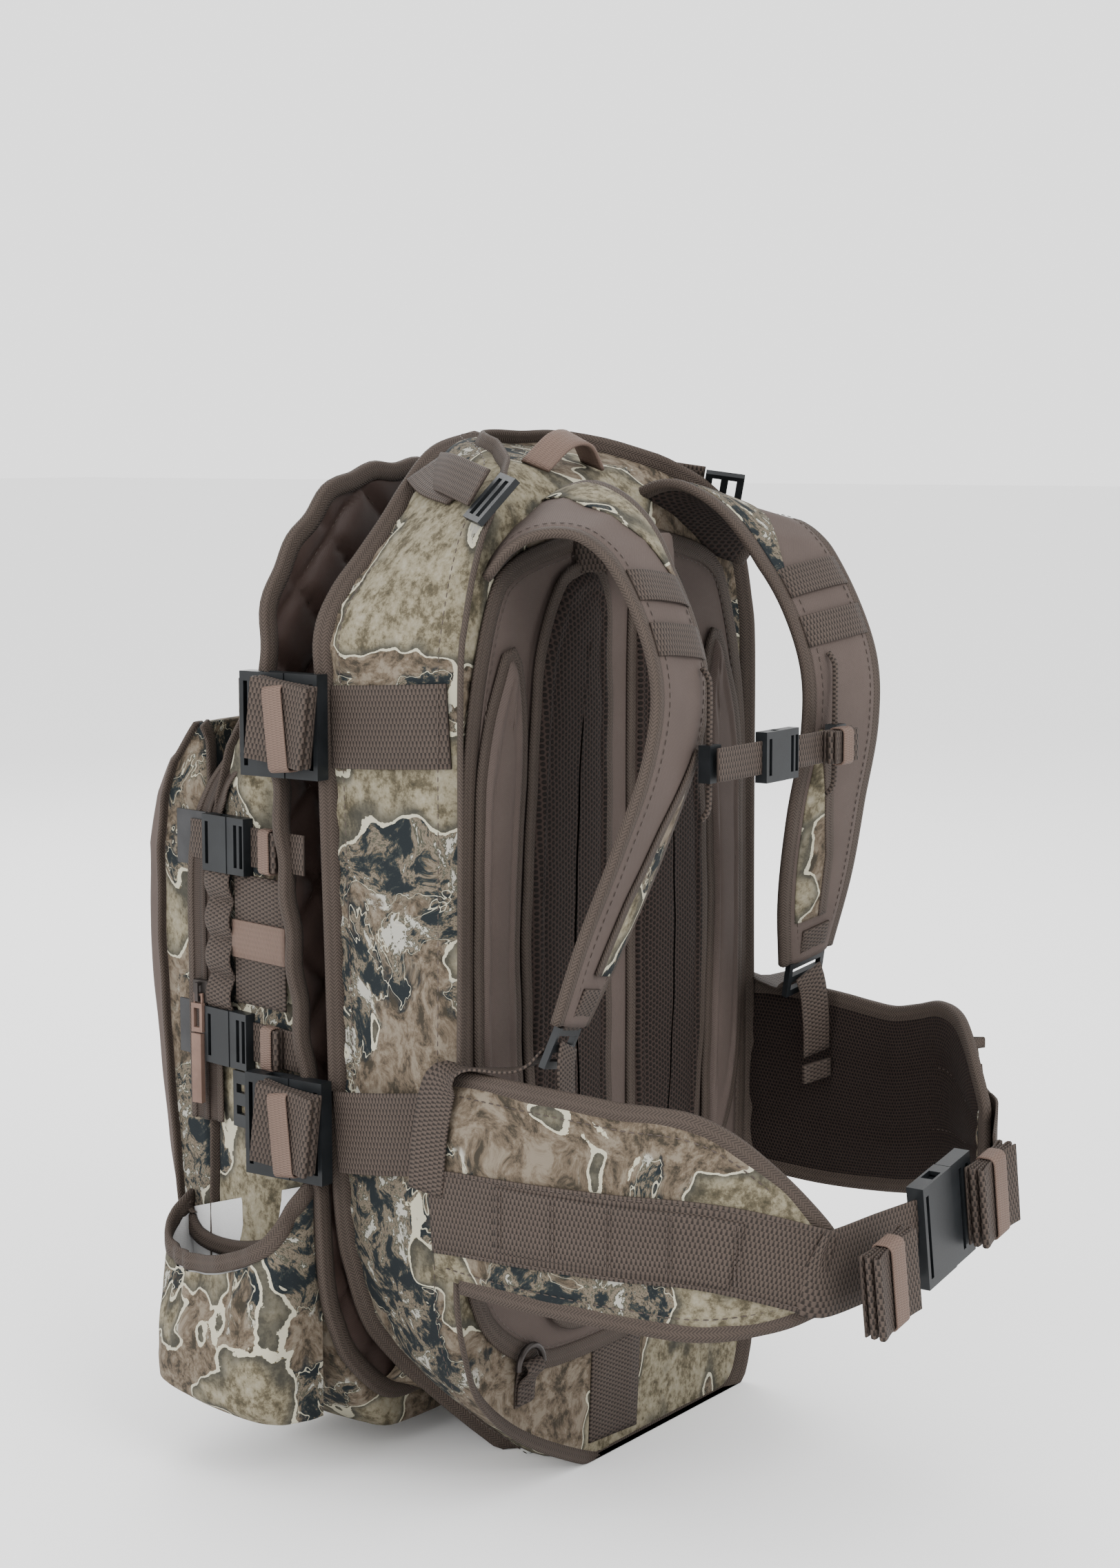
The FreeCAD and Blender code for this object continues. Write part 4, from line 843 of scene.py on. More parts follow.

# %% [markdown]
# ## The slot's soft floor
# Below the bow the slot is closed by a gusset of shell cloth, sewn to the harness body on one side
# and to the liner on the other. It crosses the joint that lets the outer module out, so it is left
# on neither body, and it hangs slack in the middle.

# %% Slot floor gusset
def lower_arc(ring, reach):
    """Heights of a closed ring's lowest part at even steps across it."""
    low = ring[ring[:, 2] < height * 0.3]
    low = low[np.argsort(low[:, 0])]
    across = np.linspace(-reach, reach, 40)
    return np.stack([across, np.interp(across, low[:, 0], low[:, 1]),
                     np.interp(across, low[:, 0], low[:, 2])], axis=1)


near_arc, far_arc = lower_arc(slot_edge, half_width * 0.62), lower_arc(liner_front, half_width * 0.62)
gusset_rows = []
for share in np.linspace(0, 1, 14):
    row = near_arc * (1 - share) + far_arc * share
    slack = math.sin(math.pi * share)
    row[:, 2] -= 5.0 * slack + 1.0 * ripple(row, 30.0, 15) * slack - 1.0
    gusset_rows.append(row)
cloth_surface("slot_floor_gusset", np.array(gusset_rows), camo,
              ("pack", "outer_pack", near_arc[20], (0, far_arc[20, 1], near_arc[20, 2])))
print("gusset", round(float(far_arc[20, 1] - near_arc[20, 1])), "mm across")

# %% [markdown]
# ## The outer module's bags
# The main compartment narrows towards its back and slopes forward at its crown, and the front
# pocket hangs on its back like a lens. Both are stacks of rounded rings, one for each height. A
# straight loft would look like a box, so every ring is bowed out a little, and a slow ripple makes
# the cloth slack.

# %% Rings of a bag
outer_front = float(liner_y(height * 0.2))
outer_half_width = half_width * 0.935
taper = math.tan(math.radians(11.0))
main_depth, pocket_depth = 118.0, 77.0
main_bottom, main_top = height * 0.025, height * 0.782


def outer_side_x(y):
    """Half width of the outer module at a depth y."""
    return outer_half_width - taper * (np.asarray(y) - outer_front)


def bag_ring(wide_front, wide_back, front, back, z, radius=18.0, each_side=26, bow=4.0):
    """Rounded ring round a bag, from the left front corner, with bowed sides."""
    corners = np.array([(-wide_front, front), (wide_front, front), (wide_back, back), (-wide_back, back)])
    radius = min(radius, (back - front) * 0.45)
    points = []
    for i, corner in enumerate(corners):
        nearer, further = corners[i - 1], corners[(i + 1) % 4]
        start = corner + unit(nearer - corner) * radius
        end = corner + unit(further - corner) * radius
        for t in np.linspace(0, 1, 7):
            points.append((1 - t) ** 2 * start + 2 * t * (1 - t) * corner + t ** 2 * end)
        side_end = further + unit(corner - further) * radius
        way = unit(further - corner)
        out = np.array([way[1], -way[0]])
        for t in np.linspace(0, 1, each_side)[1:-1]:
            points.append(end + (side_end - end) * t + out * bow * math.sin(math.pi * t))
    points = np.array(points)
    return np.column_stack([points, np.full(len(points), z)])


def closed_bag(rings, shrink=5):
    """Rings with their ends drawn in to close the bag."""
    rings = [np.array(ring) for ring in rings]
    ends = []
    for ring, step in ((rings[0], -1), (rings[-1], 1)):
        middle = ring.mean(axis=0)
        more = []
        for share in np.linspace(0.9, 0.02, shrink):
            inner = middle + (ring - middle) * share
            inner[:, 2] = ring[:, 2] + step * 2.5 * (1 - share) ** 0.5
            more.append(inner)
        ends.append(more)
    return np.array(ends[0][::-1] + rings + ends[1])


def main_ring(z, inset=0.0):
    share = (z - main_bottom) / (main_top - main_bottom)
    front = float(liner_y(z)) + 4.6 + inset
    back = outer_front + main_depth * np.interp(
        share, [0, 0.06, 0.2, 0.52, 0.75, 0.83, 0.9, 0.95, 0.98, 1.0],
        [0.82, 0.98, 1.0, 0.99, 0.94, 0.9, 0.8, 0.64, 0.50, 0.42]) - inset
    arch = np.interp(share, [0, 0.05, 0.1, 0.17], [0.62, 0.80, 0.91, 1.0])
    ring = bag_ring(outer_side_x(front) * arch - inset, outer_side_x(back) * arch - inset, front, back, z)
    slack = ripple(ring, 75.0, 21) * 1.2 + ripple(ring, 28.0, 22) * 0.35
    middle = np.array([0, (front + back) / 2, z])
    return ring + unit(ring - middle) * (slack[:, None] - 0.6)


main_levels = np.r_[np.linspace(main_bottom, main_top - 60, 56), np.linspace(main_top - 56, main_top, 18)]
cloth_surface("main_compartment_cloth", closed_bag([main_ring(z) for z in main_levels]), camo,
              "outer_pack", wrap=True, replaces=("main_compartment",))


def pocket_ring(z):
    share = (z - main_bottom) / (main_top - main_bottom)
    front = outer_front + main_depth + 1.0
    back = outer_front + main_depth + pocket_depth * np.interp(
        share, [0.1, 0.17, 0.26, 0.34, 0.50, 0.62, 0.75, 0.82, 0.87, 0.905, 0.925],
        [0.30, 0.50, 0.64, 0.76, 0.92, 1.0, 1.0, 0.88, 0.66, 0.36, 0.12])
    ring = bag_ring(outer_side_x(front) - 1.0, outer_side_x(back) - 10.0, front, back, z, 12.0, bow=2.5)
    slack = ripple(ring, 70.0, 31) * 1.0
    middle = np.array([0, (front + back) / 2, z])
    return ring + unit(ring - middle) * (slack[:, None] - 0.5)


pocket_levels = main_bottom + (main_top - main_bottom) * np.r_[np.linspace(0.1, 0.75, 48),
                                                              np.linspace(0.76, 0.925, 22)]
pocket_rings = [pocket_ring(z) for z in pocket_levels]
ring_size = len(pocket_rings[0])
quarter = ring_size // 4
pocket_rows = closed_bag(pocket_rings)


def pocket_cloth(j):
    """Taupe across the back and just round its corners, camouflage on the sides."""
    return 1 if 2 * quarter - 9 <= j % ring_size < 3 * quarter + 15 else 0


cloth_surface("front_pocket_cloth", pocket_rows, [camo, taupe], "outer_pack", wrap=True,
              pick=[pocket_cloth(j) for i in range(len(pocket_rows) - 1) for j in range(ring_size)],
              replaces=("front_pocket",))
print("bags:", len(main_levels), "and", len(pocket_levels), "rings")

# %% [markdown]
# ## Bound seams of the bags
# Every edge of the bags is a seam covered with tape. The tape follows a column of the same rings,
# so it always sits on the cloth.

# %% Bag seams
def ring_column(rings, index):
    return np.array([ring[index % len(ring)] for ring in rings])


def bag_seam(name, rings, indices, lift, width=10.0):
    for number, index in enumerate(indices):
        line = smooth_line(ring_column(rings, index), len(rings))
        middle = np.array([ring.mean(axis=0) for ring in rings])
        out = unit((line - middle) * (1, 1, 0))
        bound_edge(name + "_" + str(number + 1), line + out * lift, out, "outer_pack", width, 3.0, False)


main_rings = [main_ring(z) for z in main_levels]
main_size = len(main_rings[0])
seat = main_size // 4
bag_seam("main_back_seam", main_rings, (2 * seat + 3, 3 * seat + 3), -1.0)
bag_seam("pocket_back_seam", pocket_rings, (2 * quarter - 10, 3 * quarter + 14), -1.0, 9.0)
bag_seam("pocket_root_seam", pocket_rings, (quarter - 2, 4 * quarter + 5), -1.5, 9.0)


def arched_zip(name, y, foot, top, stations, body="outer_pack"):
    """Zip tape up one side, over the crown and down the other, with its coil."""
    side = [(float(outer_side_x(y)) + 4.0, y, foot), (float(outer_side_x(y)) + 4.5, y, (foot + top) / 2),
            (float(outer_side_x(y)) + 3.5, y, top)]
    side += [(float(outer_side_x(y)) + 2.0 - inward, y - forward, top + rise)
             for inward, forward, rise in stations]
    right = np.array(side)
    path = np.vstack([right, (right * (-1, 1, 1))[::-1]])
    line = smooth_line(path, 260)
    centre = np.array([0, y - 30.0, top - 120.0])
    out = unit((line - centre) * (1, 0.25, 1))
    along = tangents(line)
    across = unit(np.cross(along, out))
    sweep(name + "_tape", line, across, flat_profile(24.0, 1.2), zip_cloth, body, replaces=("main_zip",))
    coil_profile = [(-2.6, -0.6), (-2.0, 0.9), (-0.5, 1.5), (0.5, 1.5), (2.0, 0.9), (2.6, -0.6)]
    sweep(name + "_coil", line + out * 1.2, across, coil_profile, zip_cloth, body)
    for shift in (-10.5, 10.5):
        bound_edge(name + "_tape_edge" + ("_1" if shift < 0 else "_2"), line + across * shift + out * 0.6,
                   across * (1 if shift > 0 else -1), body, 5.0, 1.8, False)
    return line


zip_y = outer_front + main_depth * 0.96
zip_line = arched_zip("main_zip", zip_y, height * 0.33, height * 0.60,
                      [(2.0, 8.0, 38.0), (8.0, 26.0, 66.0), (28.0, 42.0, 90.0),
                       (60.0, 50.0, 101.0), (110.0, 52.0, 104.0)])
print("zip length", round(float(np.linalg.norm(np.diff(zip_line, axis=0), axis=1).sum())), "mm")

# %% [markdown]
# ## Bottle pockets
# Each bottle pocket is a gathered pouch whose mouth slopes down and back. It is one sheet from the
# module's side, round and back again. Elastic in the mouth gathers it, so folds run down from the
# tape and fade, and inside it is lined with pale cloth.

# %% Bottle pockets
bottle_bottom = height * 0.07
bottle_height = 146.0
bottle_front, bottle_back = outer_front + 6.0, outer_front + main_depth + 18.0


def bottle_rows(side, inset, rows=34, count=76):
    """Rows from the foot to the mouth of one bottle pocket."""
    mouth_top = bottle_bottom + bottle_height
    result = []
    for v in np.linspace(0, 1, rows):
        swell = np.interp(v, [0, 0.08, 0.3, 0.65, 1.0], [0.80, 0.95, 1.0, 0.93, 0.74])
        bulge = 57.0 * swell - inset
        middle = (bottle_front + bottle_back) / 2
        corners = [(outer_side_x(bottle_front) + 1, bottle_front + inset),
                   (outer_side_x(bottle_front) + bulge * 0.52, bottle_front + 2 + inset),
                   (outer_side_x(bottle_front) + bulge * 0.86, bottle_front + 15),
                   (outer_side_x(middle) + bulge, middle),
                   (outer_side_x(bottle_back) + bulge * 0.92, bottle_back - 20),
                   (outer_side_x(bottle_back) + bulge * 0.55, bottle_back - 3 - inset),
                   (outer_side_x(bottle_back) + 1, bottle_back - inset)]
        line = smooth_line(np.array([(x, y, 0) for x, y in corners], float), count)
        mouth = np.interp(line[:, 1], [bottle_front, bottle_front + 14, bottle_back],
                          [mouth_top, mouth_top - 3, mouth_top - 40])
        stands_out = np.clip((line[:, 0] - outer_side_x(line[:, 1])) / 46.0, 0, 1)
        mouth = mouth - 50.0 * stands_out ** 1.6
        line[:, 2] = bottle_bottom + v * (mouth - bottle_bottom) + (1 - v) * inset
        out = unit(np.cross(tangents(line * (1, 1, 0)), (0, 0, -1)))
        turn = np.arange(count) / count * 2 * math.pi
        folds = (1.5 * np.sin(turn * 8 + 2.2 * np.sin(turn * 3)) * v ** 2.2
                 + 2.4 * ripple(line, 60.0, 41 + side) * math.sin(math.pi * min(v * 1.2, 1)))
        fixed = np.minimum(1, np.minimum(np.arange(count), np.arange(count)[::-1]) / 6)
        line = line + out * (folds * fixed - 1.5)[:, None]
        result.append(line * (side, 1, 1))
    return np.array(result)


for side, label in ((-1, "left"), (1, "right")):
    outer_rows = bottle_rows(side, 0.0)
    foot_rows = []
    wall_line = outer_rows[0].copy()
    wall_line[:, 0] = side * (outer_side_x(wall_line[:, 1]) + 1)
    for share in np.linspace(1, 0, 9)[:-1]:
        ring = wall_line * share + outer_rows[0] * (1 - share)
        ring[:, 2] = bottle_bottom - 1.0 - 2.0 * math.sin(math.pi * share)
        foot_rows.append(ring)
    rows = np.vstack([np.array(foot_rows), outer_rows])
    cloth_surface("bottle_pocket_cloth_" + label, rows if side > 0 else rows[:, ::-1], camo, "outer_pack",
                  replaces=("bottle_pocket_" + label,))
    inner = bottle_rows(side, 3.0)
    floor_row = inner[0].copy()
    floor_row[:, 0] = side * (outer_side_x(floor_row[:, 1]) + 1.5)
    inner = np.vstack([floor_row[None], inner])
    cloth_surface("bottle_pocket_lining_" + label, inner[:, ::-1] if side > 0 else inner, pale_lining,
                  "outer_pack")
    wall_top = floor_row.copy()
    wall_top[:, 2] = np.interp(wall_top[:, 1], [bottle_front, bottle_front + 14, bottle_back],
                               [bottle_bottom + bottle_height - 2, bottle_bottom + bottle_height - 5,
                                bottle_bottom + bottle_height - 42])
    back_wall = np.array([floor_row, (floor_row + wall_top) / 2, wall_top])
    cloth_surface("bottle_pocket_wall_lining_" + label, back_wall, pale_lining, "outer_pack")
    mouth_line = (outer_rows[-1] + inner[-1]) / 2
    behind = mouth_line[::-1][2:-2:3].copy()
    behind[:, 0] = side * (outer_side_x(behind[:, 1]) + 4.0)
    loop_line = smooth_line(np.vstack([mouth_line[::3], behind]), 150, closed=True)
    centre = loop_line.mean(axis=0)
    bound_edge("bottle_pocket_binding_" + label, loop_line + (0, 0, 1.0), (0, 0, 1), "outer_pack", 11.0, 5.0)
print("bottle pockets", round(bottle_height), "mm high")

# %% [markdown]
# ## Sides of the outer module
# A wide column of webbing and a narrow daisy chain are sewn up each side. The daisy chain is
# tacked down at intervals and bows out between the tacks, so its line is a row of low humps.

# %% Columns and daisy chains
upper_row, lower_row = height * 0.612, bottle_bottom + bottle_height + 79.8
column_y = outer_front + main_depth * 0.475
daisy_y = outer_front + main_depth * 0.80
column_top, column_foot = upper_row - 18.0, lower_row + 24.0


def on_side(side, y, lift=0.0):
    return side * (float(outer_side_x(y)) + lift)


def side_way(side):
    """Way along the module's side, backwards."""
    return unit(np.array([-side * taper, 1.0, 0.0]))


for side, label in ((-1, "left"), (1, "right")):
    across = side_way(side)
    column_levels = (column_foot, (column_foot + column_top) / 2, column_top)
    column = [(on_side(side, column_y, 5.5), column_y, z) for z in column_levels]
    ribbon("side_column_" + label, column, across, 50.0, 1.6, webbing, "outer_pack",
           replaces=("side_webbing",) if side < 0 else ())
    ribbon("side_column_band_" + label, [(on_side(side, column_y - 26, 7.2), column_y - 26,
                                          (column_foot + column_top) / 2),
                                         (on_side(side, column_y + 26, 7.2), column_y + 26,
                                          (column_foot + column_top) / 2)],
           (0, 0, 1), 24.0, 1.4, elastic, "outer_pack")
    chain_z = np.linspace(column_foot - 10, column_top + 6, 61)
    tacks = np.abs(np.sin(np.linspace(0, 4 * math.pi, 61)))
    chain = [(on_side(side, daisy_y, 5.0 + 5.5 * bow), daisy_y, z) for z, bow in zip(chain_z, tacks)]
    sweep("daisy_chain_" + label, chain, across, flat_profile(25.0, 1.6), webbing, "outer_pack")
    for z in (upper_row, lower_row):
        row = [(on_side(side, y, 4.2), y, z) for y in (outer_front + 14, column_y, daisy_y)]
        ribbon("side_row_" + label + ("_upper" if z == upper_row else "_lower"), row, (0, 0, 1), 25.0, 1.6,
               webbing, "outer_pack")
print("side columns from", round(column_foot), "to", round(column_top), "mm")

# %% [markdown]
# ## Foam under cloth
# Foam pushes its cover out between the seams. The bulge could be shaped by hand, but a short
# cloth simulation with pressure inside finds it, while the sewn points are held still.

# %% Filling a sewn piece with foam
def inflate(piece, sewn, cap, pressure=4.0):
    """Cloth under pressure swells between its seams; no point moves further than the cap, in mm."""
    mesh, scene = piece.data, bpy.context.scene
    seam = piece.vertex_groups.new(name="sewn")
    seam.add([int(i) for i in sewn], 1.0, "REPLACE")
    before = np.array([v.co for v in mesh.vertices])
    cloth = piece.modifiers.new("filling", "CLOTH")
    cloth.settings.vertex_group_mass = "sewn"
    cloth.settings.use_pressure = True
    cloth.settings.uniform_pressure_force = pressure
    cloth.settings.effector_weights.gravity = 0.0
    for step in range(1, 21):
        scene.frame_set(step)
    swollen = piece.evaluated_get(bpy.context.evaluated_depsgraph_get()).data
    move = np.array([v.co for v in swollen.vertices]) - before
    piece.modifiers.remove(cloth)
    scene.frame_set(1)
    far = np.linalg.norm(move, axis=1, keepdims=True)
    if np.isfinite(move).all():
        move *= np.minimum(1, cap * mm / np.maximum(far, 1e-9))
        mesh.vertices.foreach_set("co", (before + move).ravel())
        mesh.update()
    print(piece.name, "swelled by up to", round(float(np.linalg.norm(move, axis=1).max()) * 1000, 1), "mm")


def held_points(count, around):
    """Points along a tube's two edges and at its two ends, which stay sewn."""
    half = around // 2
    edges = (0, 1, half - 2, half - 1, half, half + 1, around - 2, around - 1)
    return [i for i in range(count * around)
            if i % around in edges or i < 2 * around or i >= (count - 2) * around]


# %% [markdown]
# ## Back panel and pads
# The back panel is a taupe sheet with a bound arch, and four foam pads lie on it: two of spacer
# mesh beside the spine and two plain ones outside them. A pad could be an extruded outline, but
# foam in cloth is thin where it is sewn and full in the middle, so each is built from rings that
# shrink inwards while they rise.

# %% Pads
def filled_outline(points, count=140):
    """Closed smooth x-z outline through corner points, in shares of half width and height."""
    flat = np.array([(x * half_width, 0, z * height) for x, z in points])
    doubled = []
    for i, point in enumerate(flat):
        ahead = flat[(i + 1) % len(flat)]
        doubled += [point * 0.82 + ahead * 0.18, point * 0.18 + ahead * 0.82]
    return smooth_line(np.array(doubled), count, closed=True)[:, [0, 2]]


def pad(name, points, y_base, thickness, finish, body="pack", rings=16, binding_width=9.0,
        replaces=(), flat=False):
    """Padded panel on the back, full towards the wearer."""
    outline = filled_outline(points)
    area = np.sum(outline[:, 0] * np.roll(outline[:, 1], -1) - outline[:, 1] * np.roll(outline[:, 0], -1))
    outline = outline if area > 0 else outline[::-1]
    centre_x = np.array([np.mean(outline[np.abs(outline[:, 1] - z) < 25.0, 0]) for z in outline[:, 1]])
    low, high = outline[:, 1].min(), outline[:, 1].max()
    rows = [np.column_stack([outline[:, 0], np.full(len(outline), y_base), outline[:, 1]])]
    for share in np.linspace(1, 0, rings):
        inset = 1 - share
        x = centre_x + (outline[:, 0] - centre_x) * share
        z = outline[:, 1] + ((low + high) / 2 - outline[:, 1]) * inset * 0.22
        full = thickness * (0.30 + 0.70 * (1 - share ** 4.5)) if not flat else thickness
        soft = 0.0 if flat else 0.5
        y = y_base - full - soft * ripple(np.column_stack([x, 0 * x, z]), 60.0, 77)
        rows.append(np.column_stack([x, y, z]))
    piece = sew_face(name, rows, finish, body, replaces)
    if not flat:
        inflate(piece, range(4 * len(outline)), 4.0)
    edge = rows[1]
    if binding_width:
        along = tangents(edge, closed=True)
        out = np.stack([along[:, 2], np.zeros(len(edge)), -along[:, 0]], axis=1)
        bound_edge(name + "_binding", edge + (0, 0.6, 0), out, body, binding_width, 3.2)
        stitches(name + "_stitches", [edge - out * 4.5 + (0, -1.6, 0)], [(0, -1, 0)], body)
    return piece


def sew_face(name, rows, finish, body, replaces=()):
    """Rings facing the wearer, with a UV map laid flat on x and z."""
    rows = np.array(rows)
    count, around = rows.shape[:2]
    i, j = (grid.ravel() for grid in np.meshgrid(np.arange(count - 1), np.arange(around), indexing="ij"))
    k = (j + 1) % around
    faces = np.stack([i * around + j, (i + 1) * around + j, (i + 1) * around + k, i * around + k], axis=1)
    flat = rows.reshape(-1, 3)
    uv = flat[faces.ravel()][:, [2, 0]]
    return sew(name, flat, faces, finish, body, uv, None, replaces)


back_sheet = [(-0.93, 0.215), (-0.50, 0.125), (0.50, 0.125), (0.93, 0.215), (0.915, 0.72), (0.74, 0.875),
              (0.25, 0.905), (-0.25, 0.905), (-0.74, 0.875), (-0.915, 0.72)]
pad("back_panel_cloth", back_sheet, back_plane - 0.3, 3.0, taupe, flat=True, rings=24, binding_width=12.0,
    replaces=("back_panel",))
mesh_outline = [(0.10, 0.155), (0.45, 0.165), (0.58, 0.40), (0.60, 0.55), (0.52, 0.80), (0.36, 0.875),
                (0.10, 0.875), (0.10, 0.5)]
side_outline = [(0.66, 0.24), (0.88, 0.36), (0.875, 0.70), (0.70, 0.815), (0.635, 0.74), (0.70, 0.55),
                (0.68, 0.40)]
pad_base, mesh_full, side_full = back_plane - 3.4, 13.0, 9.5
for side, label in ((-1, "left"), (1, "right")):
    first = side < 0
    pad("mesh_pad_" + label, [(side * x, z) for x, z in mesh_outline], pad_base, mesh_full, air_mesh,
        replaces=("mesh_pads",) if first else ())
    pad("side_pad_" + label, [(side * x, z) for x, z in side_outline], pad_base, side_full, taupe,
        replaces=("side_pads",) if first else ())
spine = [(0, back_plane - 4.2, height * z) for z in (0.14, 0.35, 0.6, 0.89)]
ribbon("spine_strip", spine, (1, 0, 0), 26.0, 3.0, taupe, replaces=("spine_binding",))
print("mesh pads", mesh_full, "and side pads", side_full, "mm thick")

# %% [markdown]
# ## Shoulder straps
# Each strap is a padded band that leaves the top of the back, turns over the shoulder and runs
# down to a ladder lock. Its outside is taupe cloth between two bound edges, its underside is
# spacer mesh, its crown carries a crescent of camouflage, and its lower half has a camouflage
# inset on the inner side.

# %% Strap path
strap_stations = np.array([(94, 2, 588, 1.65), (90, -30, 604, 1.45), (88, -68, 594, 1.2),
                           (90, -98, 560, 1.03),
                           (93, -118, 512, 1), (99, -117, 466, 1), (109, -102, 412, 1), (124, -86, 358, 0.92),
                           (137, -72, 310, 0.62)], float)
strap_stations[:, :3] *= (half_width / 163.0, 1, height / 645.0)
strap_width, strap_thickness = 63.0, 11.0
cant = math.radians(9.0)
strap_side = np.array([math.cos(cant), -math.sin(cant), 0])
root_side = np.array([0.85, 0, -0.53])
strap_count = 96
strap_line = smooth_line(strap_stations, strap_count)
strap_run = np.r_[0, np.cumsum(np.linalg.norm(np.diff(strap_line[:, :3], axis=0), axis=1))]
turn_share = np.interp(np.linspace(0, 1, strap_count), [0, 0.09, 0.2, 0.27], [1, 0.62, 0.2, 0])[:, None]
strap_across = unit(root_side * turn_share + strap_side * (1 - turn_share))


def strap_frames(side):
    """Line, sideways and outwards ways of one strap; outwards is away from the wearer's chest."""
    line = strap_line[:, :3] * (side, 1, 1)
    across = strap_across * (side, 1, 1)
    along = tangents(line)
    out = unit(np.cross(along, across)) * side
    return line, unit(np.cross(out, along)) * side, out


def strap_layer(name, side, first, last, low, high, lift, thick, finish, replaces=()):
    """Part of a strap between two stations, and between two shares of its width."""
    line, across, out = strap_frames(side)
    pick = slice(int(first * strap_count), int(last * strap_count))
    width = strap_width * strap_line[pick, 3]
    low = np.interp(np.linspace(0, 1, len(width)), np.linspace(0, 1, len(np.atleast_1d(low))),
                    np.atleast_1d(low))
    high = np.interp(np.linspace(0, 1, len(width)), np.linspace(0, 1, len(np.atleast_1d(high))),
                     np.atleast_1d(high))
    rows = []
    share = np.linspace(0, 1, 13)
    for i, (p, a, o) in enumerate(zip(line[pick], across[pick], out[pick])):
        s = low[i] + (high[i] - low[i]) * share
        swell = 1 - np.abs(s) ** 3.5
        rise = strap_thickness / 2 * (0.42 + 0.58 * swell) + lift
        top = p + a * (s * width[i] / 2)[:, None] + o * rise[:, None]
        bottom = top - o * thick
        rows.append(np.vstack([top, bottom[::-1]]))
    rows = np.array(rows)
    return strip(name, rows if side > 0 else rows[:, ::-1], finish, "pack", None, replaces, False)


def strap_edge(side, which, lift=0.0):
    line, across, out = strap_frames(side)
    return line + across * (which * strap_width * strap_line[:, 3:4] / 2) + out * lift, across * which, out


for side, label in ((-1, "left"), (1, "right")):
    line, across, out = strap_frames(side)
    share = np.linspace(-1, 1, 13)
    swell = 1 - np.abs(share) ** 3.5
    rows = []
    for p, a, o, w in zip(line, across, out, strap_width * strap_line[:, 3]):
        half = (strap_thickness / 2 * (0.42 + 0.58 * swell))[:, None]
        middle = p + a * (share * w / 2)[:, None]
        rows.append(np.vstack([middle + o * half, (middle - o * half)[::-1]]))
    rows = np.array(rows)
    pick = [1 if j >= 12 else 0 for i in range(len(rows) - 1) for j in range(26)]
    if side < 0:
        rows = rows[:, ::-1]
    strap = strip("shoulder_strap_" + label + "_cloth", rows, [taupe, air_mesh], "pack",
                  pick if side > 0 else [1 - one for one in pick], ("shoulder_strap_" + label,), False)
    inflate(strap, held_points(strap_count, 26), 0.7, 3.0)
    strap_layer("strap_crown_" + label, side, 0.03, 0.33, -0.93, [-0.86, -0.30, -0.05, -0.15, -0.55, -0.88],
                0.8, 1.2, camo)
    strap_layer("strap_inset_" + label, side, 0.56, 0.92, [-0.82, -0.85, -0.85, -0.8],
                [-0.74, -0.25, 0.05, 0.1], 0.9, 1.4, camo)
    for which in (-1, 1):
        edge, away, out_way = strap_edge(side, which)
        bound_edge("strap_binding_" + label + ("_inner" if which < 0 else "_outer"), edge - away * 3.0,
                   away, "pack",
                   11.0, 6.4, False)
        stitch_line = edge - away * 7.5 + out_way * 4.4
        stitches("strap_stitches_" + label + ("_inner" if which < 0 else "_outer"), [stitch_line[3:-2]],
                 [out_way[3:-2]])
    cut = slice(int(0.56 * strap_count), int(0.92 * strap_count))
    shares = np.interp(np.linspace(0, 1, cut.stop - cut.start), [0, 0.33, 0.66, 1], [-0.74, -0.25, 0.05, 0.1])
    sideways = (shares * strap_width / 2 * strap_line[cut, 3])[:, None]
    seam = line[cut] + across[cut] * sideways + out[cut] * 6.2
    sweep("strap_inset_binding_" + label, seam, across[cut], flat_profile(8.0, 2.0), binding)
    for level, name in ((height * 0.785 + 23, "chest"), (height * 0.785 + 62, "upper")):
        i = 30 + int(np.argmin(np.abs(line[30:, 2] - level)))
        half = strap_width / 2 - 1
        band = []
        for s in np.linspace(-1, 1, 9):
            rise = strap_thickness / 2 * (0.42 + 0.58 * (1 - abs(s) ** 3.5)) + 1.2
            band.append(line[i] + across[i] * s * half + out[i] * rise)
        sweep("strap_band_" + label + "_" + name, band, tangents(line)[i], flat_profile(20.0, 1.6), webbing)
print("shoulder strap length", round(float(strap_run[-1])), "mm")

# %% [markdown]
# ## The belt
# Two padded wings reach forward from the harness body. Outside they are camouflage with a band of
# wide webbing, inside they are dark mesh sewn in channels, and tape binds the whole edge. The
# webbing carries a narrower one that is tacked down every few centimetres, which makes loops.

# %% Belt wings
belt_top, belt_bottom = height * 0.424, height * 0.242
belt_side_x = half_width + 8.0
belt_reach, belt_thickness = 221.0, 13.0
belt_front = back_plane - belt_reach + 8.0
wing_spread = np.array([(0, back_plane + 6), (1, back_plane - 14), (1, back_plane - belt_reach * 0.28),
                        (-6, back_plane - belt_reach * 0.53), (-24, back_plane - belt_reach * 0.76)])


def wing_stations(rise):
    """x, y, middle height and height of the wing, root to tip."""
    points = [(belt_side_x + x, y) for x, y in wing_spread] + [(half_width * 0.62, belt_front)]
    tops = [belt_top, belt_top + 2, belt_top, belt_top - 4, belt_top - 12 + rise * 0.5, belt_top - 66 + rise]
    feet = [belt_bottom, belt_bottom - 2, belt_bottom - 4, belt_bottom - 6 + rise * 0.2,
            belt_bottom - 8 + rise * 0.6, belt_bottom + rise]
    return np.array([(x, y, (t + f) / 2, t - f) for (x, y), t, f in zip(points, tops, feet)])


